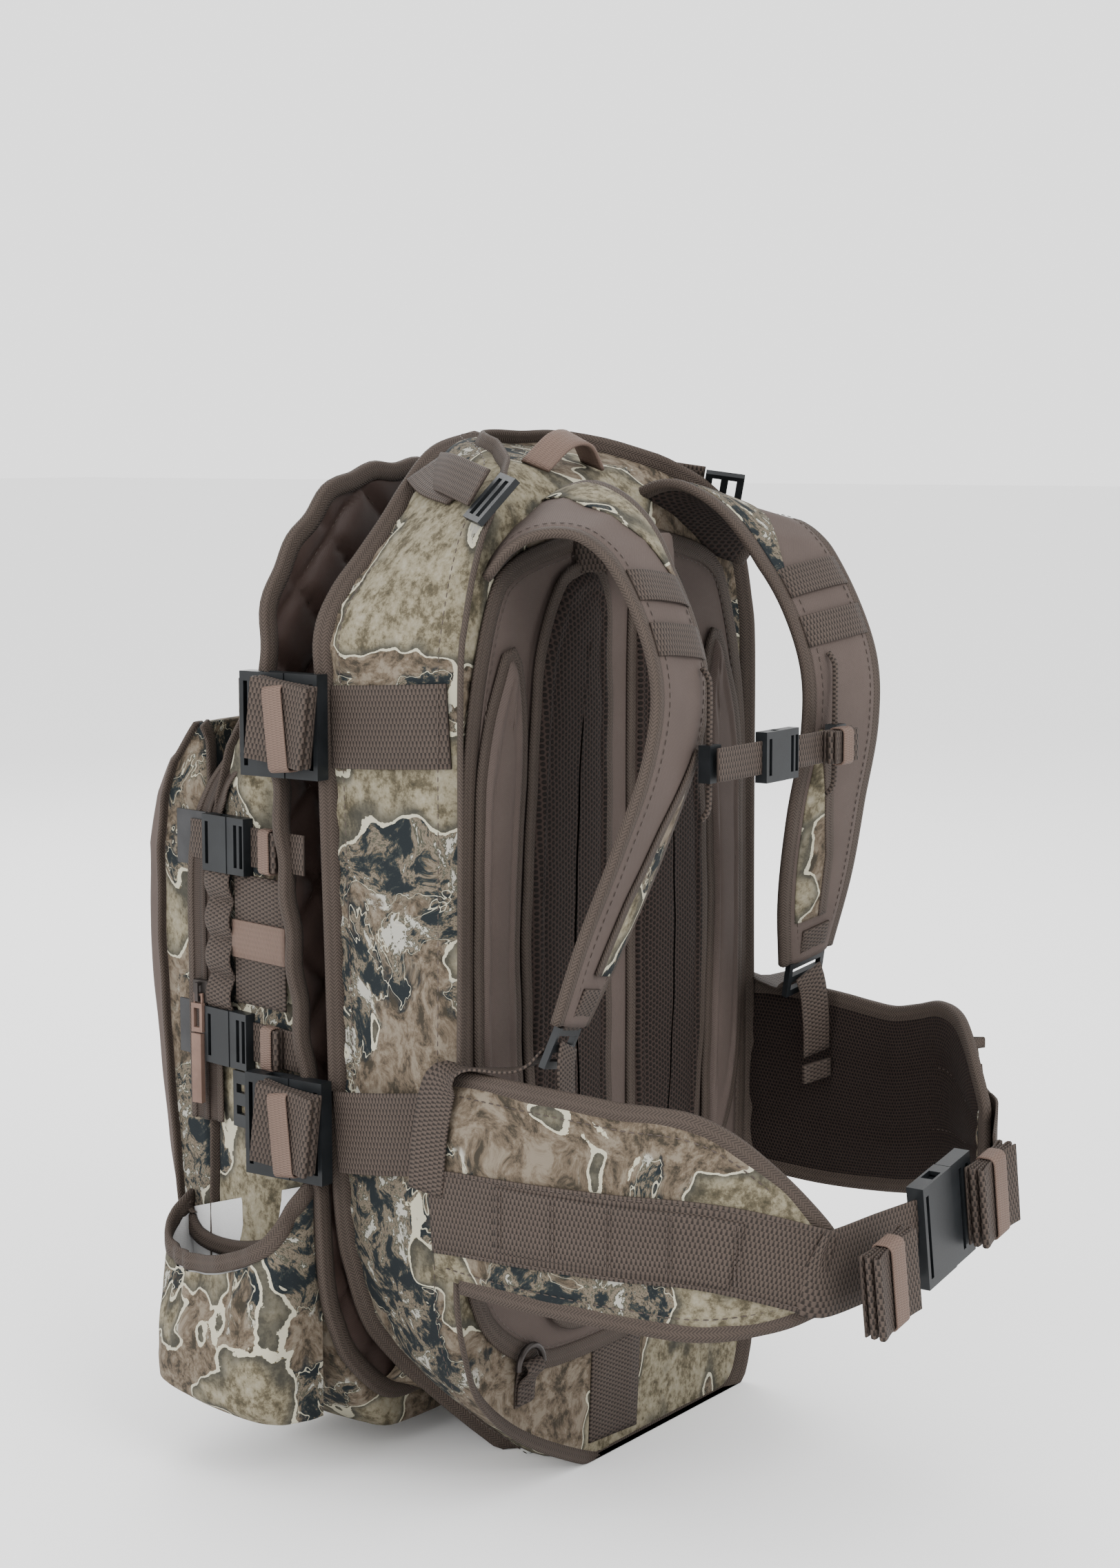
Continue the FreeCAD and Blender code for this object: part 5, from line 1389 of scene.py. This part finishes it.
def wing(side, rise, label):
    line = smooth_line(wing_stations(rise), 72)
    centre = line[:, :3] * (side, 1, 1)
    flat_way = tangents(centre * (1, 1, 0))
    out = unit(np.cross(flat_way, (0, 0, 1))) * side
    out = np.where((out[:, :1] * side) < 0, -out, out)
    tall = line[:, 3].copy()
    tip = np.clip((np.arange(72) - 60) / 11.0, 0, 1)
    tall *= 1 - 0.22 * tip ** 3
    share = np.linspace(-1, 1, 17)
    swell = 0.36 + 0.64 * (1 - np.abs(share) ** 4)
    rows = []
    for i in range(72):
        round_tip = 0.45 + 0.55 * math.sqrt(max(0.0, 1 - max(0.0, (i - 64) / 8) ** 2))
        half = belt_thickness / 2 * swell[:, None] * round_tip
        stem = centre[i] + np.array([0, 0, 1]) * (share * tall[i] / 2)[:, None]
        channel = 1 - 0.28 * np.exp(-((np.abs(share) - 0.36) * tall[i] / 2 / 3.0) ** 2)[:, None]
        outer = stem + out[i] * (half + 0.5 * ripple(stem, 50.0, 61)[:, None])
        inner = stem - out[i] * half * channel
        rows.append(np.vstack([outer, inner[::-1]]))
    rows = np.array(rows)
    pick = [1 if j >= 16 else 0 for i in range(71) for j in range(34)]
    ordered = rows if side > 0 else rows[:, ::-1]
    filled = strip("belt_wing_" + label + "_cloth", ordered, [camo, belt_mesh], "pack",
                   pick if side > 0 else [1 - one for one in pick], ("belt_wing_" + label,), False)
    inflate(filled, held_points(72, 34), 1.2, 3.0)
    top = centre + (0, 0, 1) * (tall / 2)[:, None]
    foot = centre - (0, 0, 1) * (tall / 2)[:, None]
    tip_line = centre[-1] + np.array([0, 0, 1]) * (np.linspace(0.9, -0.9, 6) * tall[-1] / 2)[:, None] \
        + tangents(centre)[-1] * 2.0
    edge = smooth_line(np.vstack([top[::6], tip_line, foot[::-6]]), 200)
    middle = np.vstack([centre[::6], np.repeat(centre[-1:], 6, axis=0), centre[::-6]])
    inner_line = smooth_line(middle, 200)
    away = unit(edge - inner_line)
    bound_edge("belt_binding_" + label, edge - away * 2.6, away, "pack", 12.0, 6.8, False)
    stitches("belt_stitches_" + label, [top[2:-3] - (0, 0, 8.0) + out[2:-3] * 4.6,
                                        foot[2:-3] + (0, 0, 8.0) + out[2:-3] * 4.6], [out[2:-3], out[2:-3]])
    for level in (-0.36, 0.36):
        up = np.array([0, 0, 1]) * (level * tall / 2)[:, None]
        line_in = centre + up - out * (belt_thickness / 2 * 0.74)
        stitches("belt_channel_" + label + ("_low" if level < 0 else "_high"), [line_in[4:-6]], [-out[4:-6]])
    return centre, out, tall


left_centre, left_out, left_tall = wing(-1, 0.0, "left")
right_centre, right_out, right_tall = wing(1, 34.0, "right")


def wing_band(name, centre, out, first, last, drop, width, lift, finish=None, thickness=1.6):
    """Webbing laid along the outside of a wing between two of its stations."""
    pick = slice(first, last)
    drops = np.interp(np.arange(first, last), [0, 71], drop)
    line = centre[pick] + out[pick] * lift - np.array([0, 0, 1]) * drops[:, None]
    sweep(name, line, (0, 0, 1), flat_profile(width, thickness), finish or webbing)
    return line


for side, label, centre, out, tall in ((-1, "left", left_centre, left_out, left_tall),
                                       (1, "right", right_centre, right_out, right_tall)):
    lift = belt_thickness / 2 + 1.6
    base = wing_band("belt_webbing_" + label, centre, out, 0, 72, (18.0, 2.0), 50.0, lift)
    loops = wing_band("belt_loops_" + label, centre, out, 14, 56, (15.0, 5.0), 38.0, lift + 1.7)
    for edge_shift in (-23.0, 23.0):
        stitches("belt_web_stitches_" + label + ("_low" if edge_shift < 0 else "_high"),
                 [base[1:-1] + (0, 0, edge_shift) + out[1:-1] * 0.9], [out[1:-1]])
    tacks, ways = [], []
    for i in range(1, 42, 10):
        for shift in (-1.2, 1.2):
            way = unit(loops[min(i + 1, 41)] - loops[i - 1])
            tacks.append(np.array([loops[i] + way * shift + (0, 0, z) + out[14 + i] * 1.0
                                   for z in np.linspace(-18, 18, 8)]))
            ways.append(out[14 + i])
    stitches("belt_loop_tacks_" + label, tacks, ways, length=2.4, pause=0.8, radius=0.5)
print("belt wing heights", round(float(left_tall[0])), "to", round(float(left_tall[-1])), "mm")

# %% [markdown]
# ## Folded tails
# Spare webbing is folded to and fro and held by a band of elastic. A block would hide what makes
# it read as webbing, which is the stack of folds at its ends, so the tail is one ribbon swept
# along a zigzag whose turns are rounded and whose layers spread a little towards their ends.

# %% Folded tails and keepers
def folded_tail(name, start, along, out, width, length, layers, body, thickness=9.0, finish=None,
                replaces=(), fan=0.35, seed=1):
    """Zigzag of webbing from `start` along `along`, its layers stacked along `out`."""
    chooser = np.random.RandomState(seed)
    start, along, out = np.array(start, float), unit(along), unit(out)
    pitch = thickness / layers
    path = []
    for layer in range(layers):
        depth_here = -thickness / 2 + pitch * (layer + 0.5)
        ends = (1.0 + chooser.uniform(-0.5, 1.5), length - 1.0 - chooser.uniform(-0.5, 1.5))
        ends = ends if layer % 2 == 0 else ends[::-1]
        for t in np.linspace(0, 1, 7):
            spread = 1 + fan * (2 * t - 1) ** 2
            path.append(start + along * (ends[0] + (ends[1] - ends[0]) * t) + out * depth_here * spread)
        if layer < layers - 1:
            edge = ends[1] + (1.3 if layer % 2 == 0 else -1.3)
            path.append(start + along * edge + out * (depth_here + pitch / 2) * (1 + fan))
    path = smooth_line(np.array(path), layers * 26)
    across = np.cross(along, out)
    sweep(name, path, across, flat_profile(width, min(1.35, pitch * 0.78)), finish or webbing, body,
          replaces=replaces)


def keeper(name, start, along, out, web, inside, breadth, body, replaces=()):
    """Elastic band round a folded tail."""
    start, along, out = np.array(start, float), unit(along), unit(out)
    across = unit(np.cross(along, out))
    w, t = web / 2 + 1.0, inside / 2 + 0.9
    corner = min(w, t) * 0.6
    ring = []
    for cx, cy, first in ((w, t, 0), (-w, t, 90), (-w, -t, 180), (w, -t, 270)):
        sx, sy = math.copysign(1, cx), math.copysign(1, cy)
        for degrees in np.linspace(first, first + 90, 6):
            a = math.radians(degrees)
            ring.append(((cx - sx * corner) + corner * math.cos(a),
                         (cy - sy * corner) + corner * math.sin(a)))
        nxt = {(1, 1): (-w, t), (-1, 1): (-w, -t), (-1, -1): (w, -t), (1, -1): (w, t)}[(sx, sy)]
        for share in (0.33, 0.66):
            ring.append((cx + (nxt[0] - cx) * share, cy + (nxt[1] - cy) * share))
    line = np.array([start + along * (breadth / 2) + across * a + out * b for a, b in ring])
    sweep(name, line, along, flat_profile(breadth, 1.3), elastic, body, closed=True, replaces=replaces)


# %% [markdown]
# ## Compression straps
# Two straps on each side pull the outer module against the harness body. Each leaves the back
# seam, lies flat on the side panel and enters its buckle beside the slot. When the straps are let
# out, the webbing runs between two bodies, so it is left on neither body.

# %% Compression straps
upper_strap, lower_strap = height * 0.737, bottle_bottom + bottle_height + 34.6


def slot_half_at(z):
    near = np.argmin(np.abs(slot_half[20:, 1] - z)) + 20
    return slot_half[near, 0]


def back_half_at(z):
    near = np.argmin(np.abs(back_right[30:, 1] - z)) + 30
    return back_right[near, 0]


seam_y, web_end_y = back_plane + 6.0, back_plane + depth - 1.0
for z, rise, level in ((upper_strap, 6.0, "upper"), (lower_strap, 14.0, "lower")):
    for side, label in ((-1, "left"), (1, "right")):
        name = level + "_" + label
        reach = max(slot_half_at(z + 25), outer_half_width) + 1.3
        root = back_half_at(z + rise) + 2.6
        share = np.linspace(0, 1, 9)
        across_panel = root * (1 - share) + reach * share + 5.8 * np.sin(math.pi * share) ** 0.7
        points = np.stack([side * across_panel, seam_y + (web_end_y - seam_y) * share,
                           z + rise * (1 - share)], axis=1)
        stretch = ("pack", "outer_pack", (side * root, seam_y, z), (side * root, web_end_y, z))
        ribbon("compression_web_" + name, points, (0, 0, 1), 50.0, 1.6, webbing, stretch, 40,
               ("compression_webs",) if name == "upper_left" else ())
        centre_x = reach - 0.8 + 11.0 / 2 + 2.5
        tail_x = centre_x + 5.5 + 0.5 + 4.5 + 1.7
        folded_tail("compression_tail_" + name, (side * tail_x, web_end_y + 1, z), (0, 1, 0.12),
                    (side, 0, 0), 50.0,
                    46.0, 5, "outer_pack", seed=3 + len(name) + (1 if side > 0 else 0), fan=0.75,
                    replaces=("compression_tails",) if name == "upper_left" else ())
        keeper("compression_keeper_" + name, (side * tail_x, web_end_y + 16, z), (0, 1, -0.1), (side, 0, 0),
               50.0, 10.6,
               15.0, "outer_pack", ("compression_keepers",) if name == "upper_left" else ())
        tab_y = web_end_y + 1 + 26.0 + 35.0 - 1.0
        tab = [(side * centre_x, tab_y + 2, z), (side * (float(outer_side_x(tab_y)) + 7), tab_y + 9, z),
               (side * (float(outer_side_x(tab_y + 22)) + 4.5), tab_y + 22, z)]
        ribbon("socket_tab_" + name, tab, (0, 0, 1), 50.0, 1.8, webbing, "outer_pack")
print("compression straps at", round(upper_strap), "and", round(lower_strap), "mm")

# %% [markdown]
# ## The waist buckle's webbing
# At the front of the belt each side's webbing runs from the tip of its wing to the buckle, and
# both spare ends are folded and kept beside it. The right side's tail moves with the plug.

# %% Waist webbing
rise = math.radians(10.0)
buckle_way = np.array([math.cos(rise), 0, math.sin(rise)])
buckle_mouth = np.array([4.0, belt_front - belt_thickness / 2 - 5.5 - 12.0, belt_bottom + 35.0])
socket_end = buckle_mouth - buckle_way * 36.0
plug_end = buckle_mouth + buckle_way * 68.0
left_lift, right_lift = belt_thickness / 2 + 1.6, belt_thickness / 2 + 1.6
left_end = left_centre[-1] + left_out[-1] * left_lift - (0, 0, 2.0)
right_end = right_centre[-1] + right_out[-1] * right_lift - (0, 0, 2.0)
left_before = left_centre[-5] + left_out[-5] * left_lift - (0, 0, 2.5)
right_before = right_centre[-5] + right_out[-5] * right_lift - (0, 0, 2.5)
ribbon("waist_web_left", [left_before, left_end, left_end * 0.4 + socket_end * 0.6, socket_end],
       [(0, 0, 1), (0, 0, 1), (-math.sin(rise), 0, math.cos(rise))], 50.0, 1.7, webbing,
       replaces=("waist_webs",))
ribbon("waist_web_right", [right_before, right_end, right_end * 0.5 + plug_end * 0.5, plug_end],
       [(0, 0, 1), (0, 0, 1), (-math.sin(rise), 0, math.cos(rise))], 50.0, 1.7, webbing)
fold_drop = np.array([0, -12.2, 0])
left_fold = socket_end + fold_drop - buckle_way * 78.0
right_fold = buckle_mouth + buckle_way * 15.6 + fold_drop
folded_tail("waist_tail_left", left_fold, buckle_way, (0, -1, 0), 50.0, 46.0, 5, "pack", seed=21, fan=0.7)
keeper("waist_keeper_left", left_fold + buckle_way * 15.0, buckle_way, (0, -1, 0), 50.0, 10.4, 15.0, "pack")
folded_tail("waist_tail_right_folds", right_fold, buckle_way, (0, -1, 0), 50.0, 46.0, 5, "waist_plug",
            seed=22, fan=0.7,
            replaces=("waist_tail_right",))
keeper("waist_keeper_right_band", right_fold + buckle_way * 15.0, buckle_way, (0, -1, 0), 50.0, 10.4, 15.0,
       "waist_plug", ("waist_keeper_right",))
print("waist buckle", round(float(buckle_mouth[1])), "mm in front of the datum")

# %% [markdown]
# ## The chest strap
# It slides on a cord rail sewn along each shoulder strap. The rails are stiff cord, held at both
# ends, and the strap's own webbing is narrow, with its spare end folded behind a keeper.

# %% Chest strap
rail_x = 93.0 * half_width / 163.0 - strap_width * 0.30
rail_y = -118.0 - 5.5 - 3.5
rail_low, rail_high = height * 0.675, height * 0.785
chest_z = height * 0.713
chest_y = rail_y - 4.5 - 0.5 - 4.0
for side, label in ((-1, "left"), (1, "right")):
    x = side * rail_x
    rail = [(x, rail_y + 5.2, rail_low - 9), (x, rail_y + 1.2, rail_low - 4), (x, rail_y, rail_low + 4),
            (x, rail_y, (rail_low + rail_high) / 2), (x, rail_y, rail_high - 4),
            (x, rail_y + 1.2, rail_high + 4),
            (x, rail_y + 5.2, rail_high + 9)]
    line = smooth_line(rail, 60)
    turns = np.linspace(0, 2 * math.pi, 10, endpoint=False)
    round_profile = [(1.8 * math.cos(a), 1.8 * math.sin(a)) for a in turns]
    sweep("chest_rail_" + label, line, (1, 0, 0), round_profile, webbing,
          replaces=("chest_rails",) if side < 0 else ())
left_socket_x = -8.0 - 22.4
ribbon("chest_web_left", [(-rail_x - 5, chest_y, chest_z), (-rail_x * 0.7, chest_y - 0.4, chest_z),
                          (left_socket_x + 2, chest_y, chest_z)], (0, 0, 1), 20.0, 1.6, webbing,
                          "chest_strap",
       replaces=("chest_webs",))
ribbon("chest_web_right", [(-8.0 + 40.0, chest_y, chest_z), (rail_x * 0.75, chest_y - 0.4, chest_z),
                           (rail_x + 5, chest_y, chest_z)], (0, 0, 1), 20.0, 1.6, webbing, "chest_strap")
ribbon("chest_web_slack", [(-8.0 + 15.0, chest_y - 0.2, chest_z), (-8.0 + 26.0, chest_y - 1.2, chest_z),
                           (-8.0 + 42.0, chest_y, chest_z)], (0, 0, 1), 20.0, 1.5, webbing,
       ("chest_plug", "chest_strap", (7.0, chest_y, chest_z), (34.0, chest_y, chest_z)))
folded_tail("chest_tail_folds", (rail_x - 34.0, chest_y - 6.0, chest_z), (1, 0, 0), (0, -1, 0), 20.0, 30.0, 4,
            "chest_strap", 7.0, replaces=("chest_tail",), seed=31)
keeper("chest_keeper_band", (rail_x - 24.0, chest_y - 6.0, chest_z), (1, 0, 0), (0, -1, 0), 20.0, 8.2, 12.0,
       "chest_strap", ("chest_keeper",))

# %% [markdown]
# ## Straps at the ladder locks
# Below each shoulder strap a web comes up from behind the belt into the ladder lock, and its free
# tail hangs in front, hemmed at its end.

# %% Lower shoulder webs and tails
end_point = strap_stations[-1, :3]
end_along = unit(strap_line[-1, :3] - strap_line[-4, :3])
for side, label in ((-1, "left"), (1, "right")):
    mirror = np.array([side, 1, 1])
    _, across, out = strap_frames(side)
    side_here, out_here = across[-1], out[-1]
    along = end_along * mirror
    end = end_point * mirror
    reach = 25.0 * 0.42 + 15.0
    strand = [end + along * (reach * 0.75 + 2) - out_here * 7.0,
              end + along * 34 - out_here * 16.0 + mirror * (10, 0, 0),
              np.array([side * (belt_side_x + 7.4), -16.0, belt_top + 8.0]),
              np.array([side * (belt_side_x + 10.4), -5.0, belt_top - 20.0]),
              np.array([side * (belt_side_x + 9.6), 1.0, belt_bottom + 52.0])]
    ribbon("shoulder_web_" + label, strand, [side_here, side_here * 0.4 + np.array([0, -0.6, 0]),
                                             (0, -1, 0.2),
                                             (0, -1, 0.1), (0, -1, 0.1)], 25.0, 1.6, webbing,
           replaces=("shoulder_webs",) if side < 0 else ())
    hang = [end + along * (reach * 0.45) + out_here * 4.0,
            end + along * 24 + out_here * 8.0 + mirror * (2, -1, 0),
            end + along * 24 + out_here * 8.5 + mirror * (4, -2, -22),
            end + along * 20 + out_here * 7 + mirror * (8, -1, -48)]
    ribbon("lock_tail_web_" + label, hang, side_here, 25.0, 1.6, webbing, "ladder_lock_" + label,
           replaces=("lock_tail_" + label,))
    keeper_spot = end + along * 22 + out_here * 8.0 + mirror * (7, -1, -52)
    ribbon("lock_tail_hem_" + label, [keeper_spot, keeper_spot + mirror * (1, 0.4, -12)], side_here, 26.0,
           4.2, webbing,
           "ladder_lock_" + label)
    web_over = [end - along * 24 + out_here * 5.6, end - along * 8 + out_here * 4.6,
                end + along * 5 + out_here * 0.5]
    ribbon("lock_anchor_" + label, web_over, side_here, 25.0, 1.6, webbing)
print("ladder locks at", np.round(end_point))

# %% [markdown]
# ## Load lifters, haul loop and grab handle
# Webbing from the crown of the harness body pulls the straps back through small ladder locks. A
# loop of webbing between the straps is for hanging the pack, and a padded handle is for the hand.

# %% Top webbing
for side, label in ((-1, "left"), (1, "right")):
    mirror = np.array([side, 1, 1])
    top = np.array([66.0, 80.0, 627.5]) * (half_width / 163, 1, height / 645) * mirror
    foot = np.array([124.0, 2.0, 619.0]) * (half_width / 163, 1, height / 645) * mirror
    across = unit(np.array([0.55 * side, 0, -0.83]))
    normal = unit(np.array([0.83 * side, 0, 0.55]))
    ribbon("load_lifter_" + label, [top + normal, top * 0.6 + foot * 0.4 + normal * 5.0, foot], across,
           25.0, 1.7,
           webbing, replaces=("load_lifters",) if side < 0 else ())
    crossing = [np.array([x * side, y, z]) for x, y, z in ((64, 88, 630), (84, 62, 622), (101, 30, 617))]
    ribbon("crown_web_" + label, crossing, unit(np.array([0.75 * side, 0.2, -0.6])), 28.0, 1.8, webbing)
haul = [(-50, 14, 631), (-42, 13, 637), (-30, 10, 646), (-18, 9, 648.5), (-6, 10, 646), (6, 13, 637),
        (12, 14, 631)]
ribbon("haul_loop_web", haul, (0, 0.91, 0.42), 20.0, 2.6, elastic, replaces=("haul_loop",))
handle_z = height * 0.893
grab = [(-46, back_plane - 5, handle_z), (-38, back_plane - 12, handle_z + 1),
        (-24, back_plane - 27, handle_z + 2),
        (0, back_plane - 31, handle_z + 2.5), (24, back_plane - 27, handle_z + 2),
        (38, back_plane - 12, handle_z + 1),
        (46, back_plane - 5, handle_z)]
ribbon("grab_handle_web", grab, (0, 0.1, 1), 20.0, 2.6, webbing, replaces=("grab_handle",))
handle_line = smooth_line(grab[1:-1], 40)
sweep("grab_handle_sleeve", handle_line[6:-6], (0, 0.1, 1),
      [(a * 11.5, b * 3.4) for a, b in ((-1, -0.4), (-0.8, -0.9), (0, -1), (0.8, -0.9), (1, -0.4), (1, 0.4),
                                        (0.8, 0.9),
                                       (0, 1), (-0.8, 0.9), (-1, 0.4))], taupe)

# %% [markdown]
# ## The lower back
# A strip of wide webbing is sewn up the lower back, and on each side a folded tab holds a D-ring.
# The strip runs down the back to just above the floor.

# %% Lower back webbing
ring_z, ring_y, ring_x = height * 0.128, back_plane - 8.0, half_width * 0.60
strip_line = [(6, back_plane - 1.6, height * 0.112), (4, back_plane - 1.7, height * 0.06),
              (2, back_plane - 1.5, 8.0)]
ribbon("lower_back_strip", strip_line, (1, 0, 0), 55.0, 1.5, webbing, replaces=("lower_webbing",))
for side, label in ((-1, "left"), (1, "right")):
    x = side * ring_x
    loop_points = [(x, back_plane - 1.6, ring_z - 26), (x, back_plane - 2.6, ring_z - 12),
                   (x, ring_y + 3.6, ring_z - 3),
                   (x, ring_y + 1.0, ring_z + 3.4), (x, ring_y - 3.4, ring_z + 2.0),
                   (x, ring_y - 3.9, ring_z - 2.5),
                   (x, back_plane - 5.4, ring_z - 10), (x, back_plane - 3.6, ring_z - 24)]
    ribbon("ring_tab_" + label, loop_points, (1, 0, 0), 18.0, 1.3, webbing, count=60)
    tack_spots = [x + dx for dx in np.linspace(-7, 7, 6)]
    tacks = [np.array([(spot, back_plane - 5.9, ring_z - z) for spot in tack_spots]) for z in (13, 21)]
    stitches("ring_tab_tacks_" + label, tacks, [(0, -1, 0)] * 2, length=2.0, pause=0.8)

# %% [markdown]
# ## Small side-release rows
# Two small buckles on each side of the outer module pull a rubber-tipped patch on the front pocket
# forward. Their webbing is doubled, with a short folded tail and its keeper.

# %% Small rows on the sides
buckle_mouth_y = outer_front + main_depth * 0.70
for side, label in ((-1, "left"), (1, "right")):
    way = side_way(side)
    out = unit(np.array([side, taper, 0]))
    for z, level in ((upper_row, "upper"), (lower_row, "lower")):
        name = level + "_" + label
        start_y = buckle_mouth_y - 17.5 - 12.0 - 3.0
        front = [(on_side(side, start_y - 15, 6.2), start_y - 15, z),
                 (on_side(side, start_y, 6.2), start_y, z)]
        ribbon("small_web_" + name, front, (0, 0, 1), 25.0, 1.6, webbing, "outer_pack",
               replaces=("small_webs",) if name == "upper_left" else ())
        tail_start = np.array([on_side(side, start_y - 15, 9.5), start_y - 15, z])
        folded_tail("small_tail_" + name, tail_start, way, out, 25.0, 16.0, 3, "outer_pack", 5.0,
                    seed=41 + len(name))
        keeper("small_keeper_" + name, tail_start + way * 3.0, way, out, 25.0, 6.2, 10.0, "outer_pack")
        patch_y = buckle_mouth_y + 24.5 + 4.0
        patch = [(on_side(side, patch_y - 8, 4.6), patch_y - 8, z),
                 (on_side(side, patch_y + 14, 5.2), patch_y + 14, z)]
        ribbon("patch_web_" + name, patch, (0, 0, 1), 25.0, 1.6, webbing, "outer_pack")

# %% [markdown]
# ## The belt pouch
# A small zipped pouch sits on the right wing. Its cloth is stuffed, so a short cloth simulation
# swells it between its two end seams, and its zip and binding are added afterwards.

# %% Belt pouch
pouch_low, pouch_high = node_box("belt_pouch")
pouch_station = 47
pouch_along = unit(right_centre[54] - right_centre[40])
pouch_out = right_out[pouch_station]
pouch_middle = (pouch_low + pouch_high) / 2
rows = []
for v in np.linspace(-1, 1, 22):
    ring = []
    for a in np.linspace(0, 2 * math.pi, 48, endpoint=False):
        c, s = math.cos(a), math.sin(a)
        p = (abs(c) ** 5 + abs(s) ** 5) ** -0.2
        end = (1 - abs(v) ** 6) ** 0.3 if abs(v) < 1 else 0.0
        ring.append(pouch_middle + pouch_along * c * p * 27 * (0.25 + 0.75 * end)
                    + pouch_out * s * p * 9.5 * (0.25 + 0.75 * end) + np.array([0, 0, 1]) * v * 38)
    rows.append(ring)
rows = np.array(rows)
slack = ripple(rows, 30.0, 51)[..., None] * 0.7
rows = rows + unit(rows - pouch_middle) * slack
pouch = cloth_surface("belt_pouch_cloth", rows, camo, "pack", wrap=True, caps=True, replaces=("belt_pouch",))
inflate(pouch, list(range(48 * 2)) + list(range(48 * 20, 48 * 22)), 2.5)
for v in (-34.0, 34.0):
    ring = smooth_line(np.array([pouch_middle + pouch_along * c * 27.3 + pouch_out * s * 9.8 + (0, 0, v)
                                 for c, s in ((1, 0.75), (0.85, 1), (-0.85, 1), (-1, 0.75), (-1, -0.8),
                                              (-0.85, -0.95),
                                              (0.85, -0.95), (1, -0.8))]), 80, closed=True)
    bound_edge("belt_pouch_binding" + ("_low" if v < 0 else "_high"), ring - unit(ring - pouch_middle) * 1.4,
               (0, 0, 1), "pack", 7.0, 2.4)
pouch_zip = [pouch_middle + pouch_along * c + pouch_out * (9.9 - abs(c) * 0.02) + (0, 0, 16.0)
             for c in (-25, -12, 0, 12, 25)]
ribbon("belt_pouch_zip", pouch_zip, (0, 0, 1), 9.0, 1.6, zip_cloth)

# %% [markdown]
# ## Moulded parts keep their frame shapes
# Buckles, ladder locks, sliders and rings are already right in the frame, so they stay, with a
# small bevel so that their edges catch the light as moulded edges do.

# %% Finishes for the frame's own nodes
hardware = {plastic: ("compression_plugs", "compression_sockets", "waist_socket", "waist_plug",
                      "lifter_locks",
                      "chest_sliders", "chest_socket", "chest_plug", "column_ladder_locks", "small_sockets",
                      "small_plug_upper_left", "small_plug_upper_right", "small_plug_lower_left",
                      "small_plug_lower_right", "ladder_lock_left", "ladder_lock_right"),
            rubber: ("rubber_patches",), painted: ("zip_slider_left", "zip_slider_right", "d_ring_left",
                                                   "d_ring_right"),
            cord_pull: ("zip_pull_left", "zip_pull_right"), steel_rod: ("frame_stays",),
            sheet_black: ("frame_sheet",)}
for finish, names in hardware.items():
    for name in names:
        node = frame["nodes"][name]
        for material_slot in node.material_slots:
            material_slot.material = finish.material
        if not node.material_slots:
            node.data.materials.append(finish.material)
        soften = node.modifiers.new("moulded_edge", "BEVEL")
        soften.width = 0.6 * mm
        soften.segments = 2
        soften.limit_method = "ANGLE"
print("frame nodes kept:", sum(len(names) for names in hardware.values()))
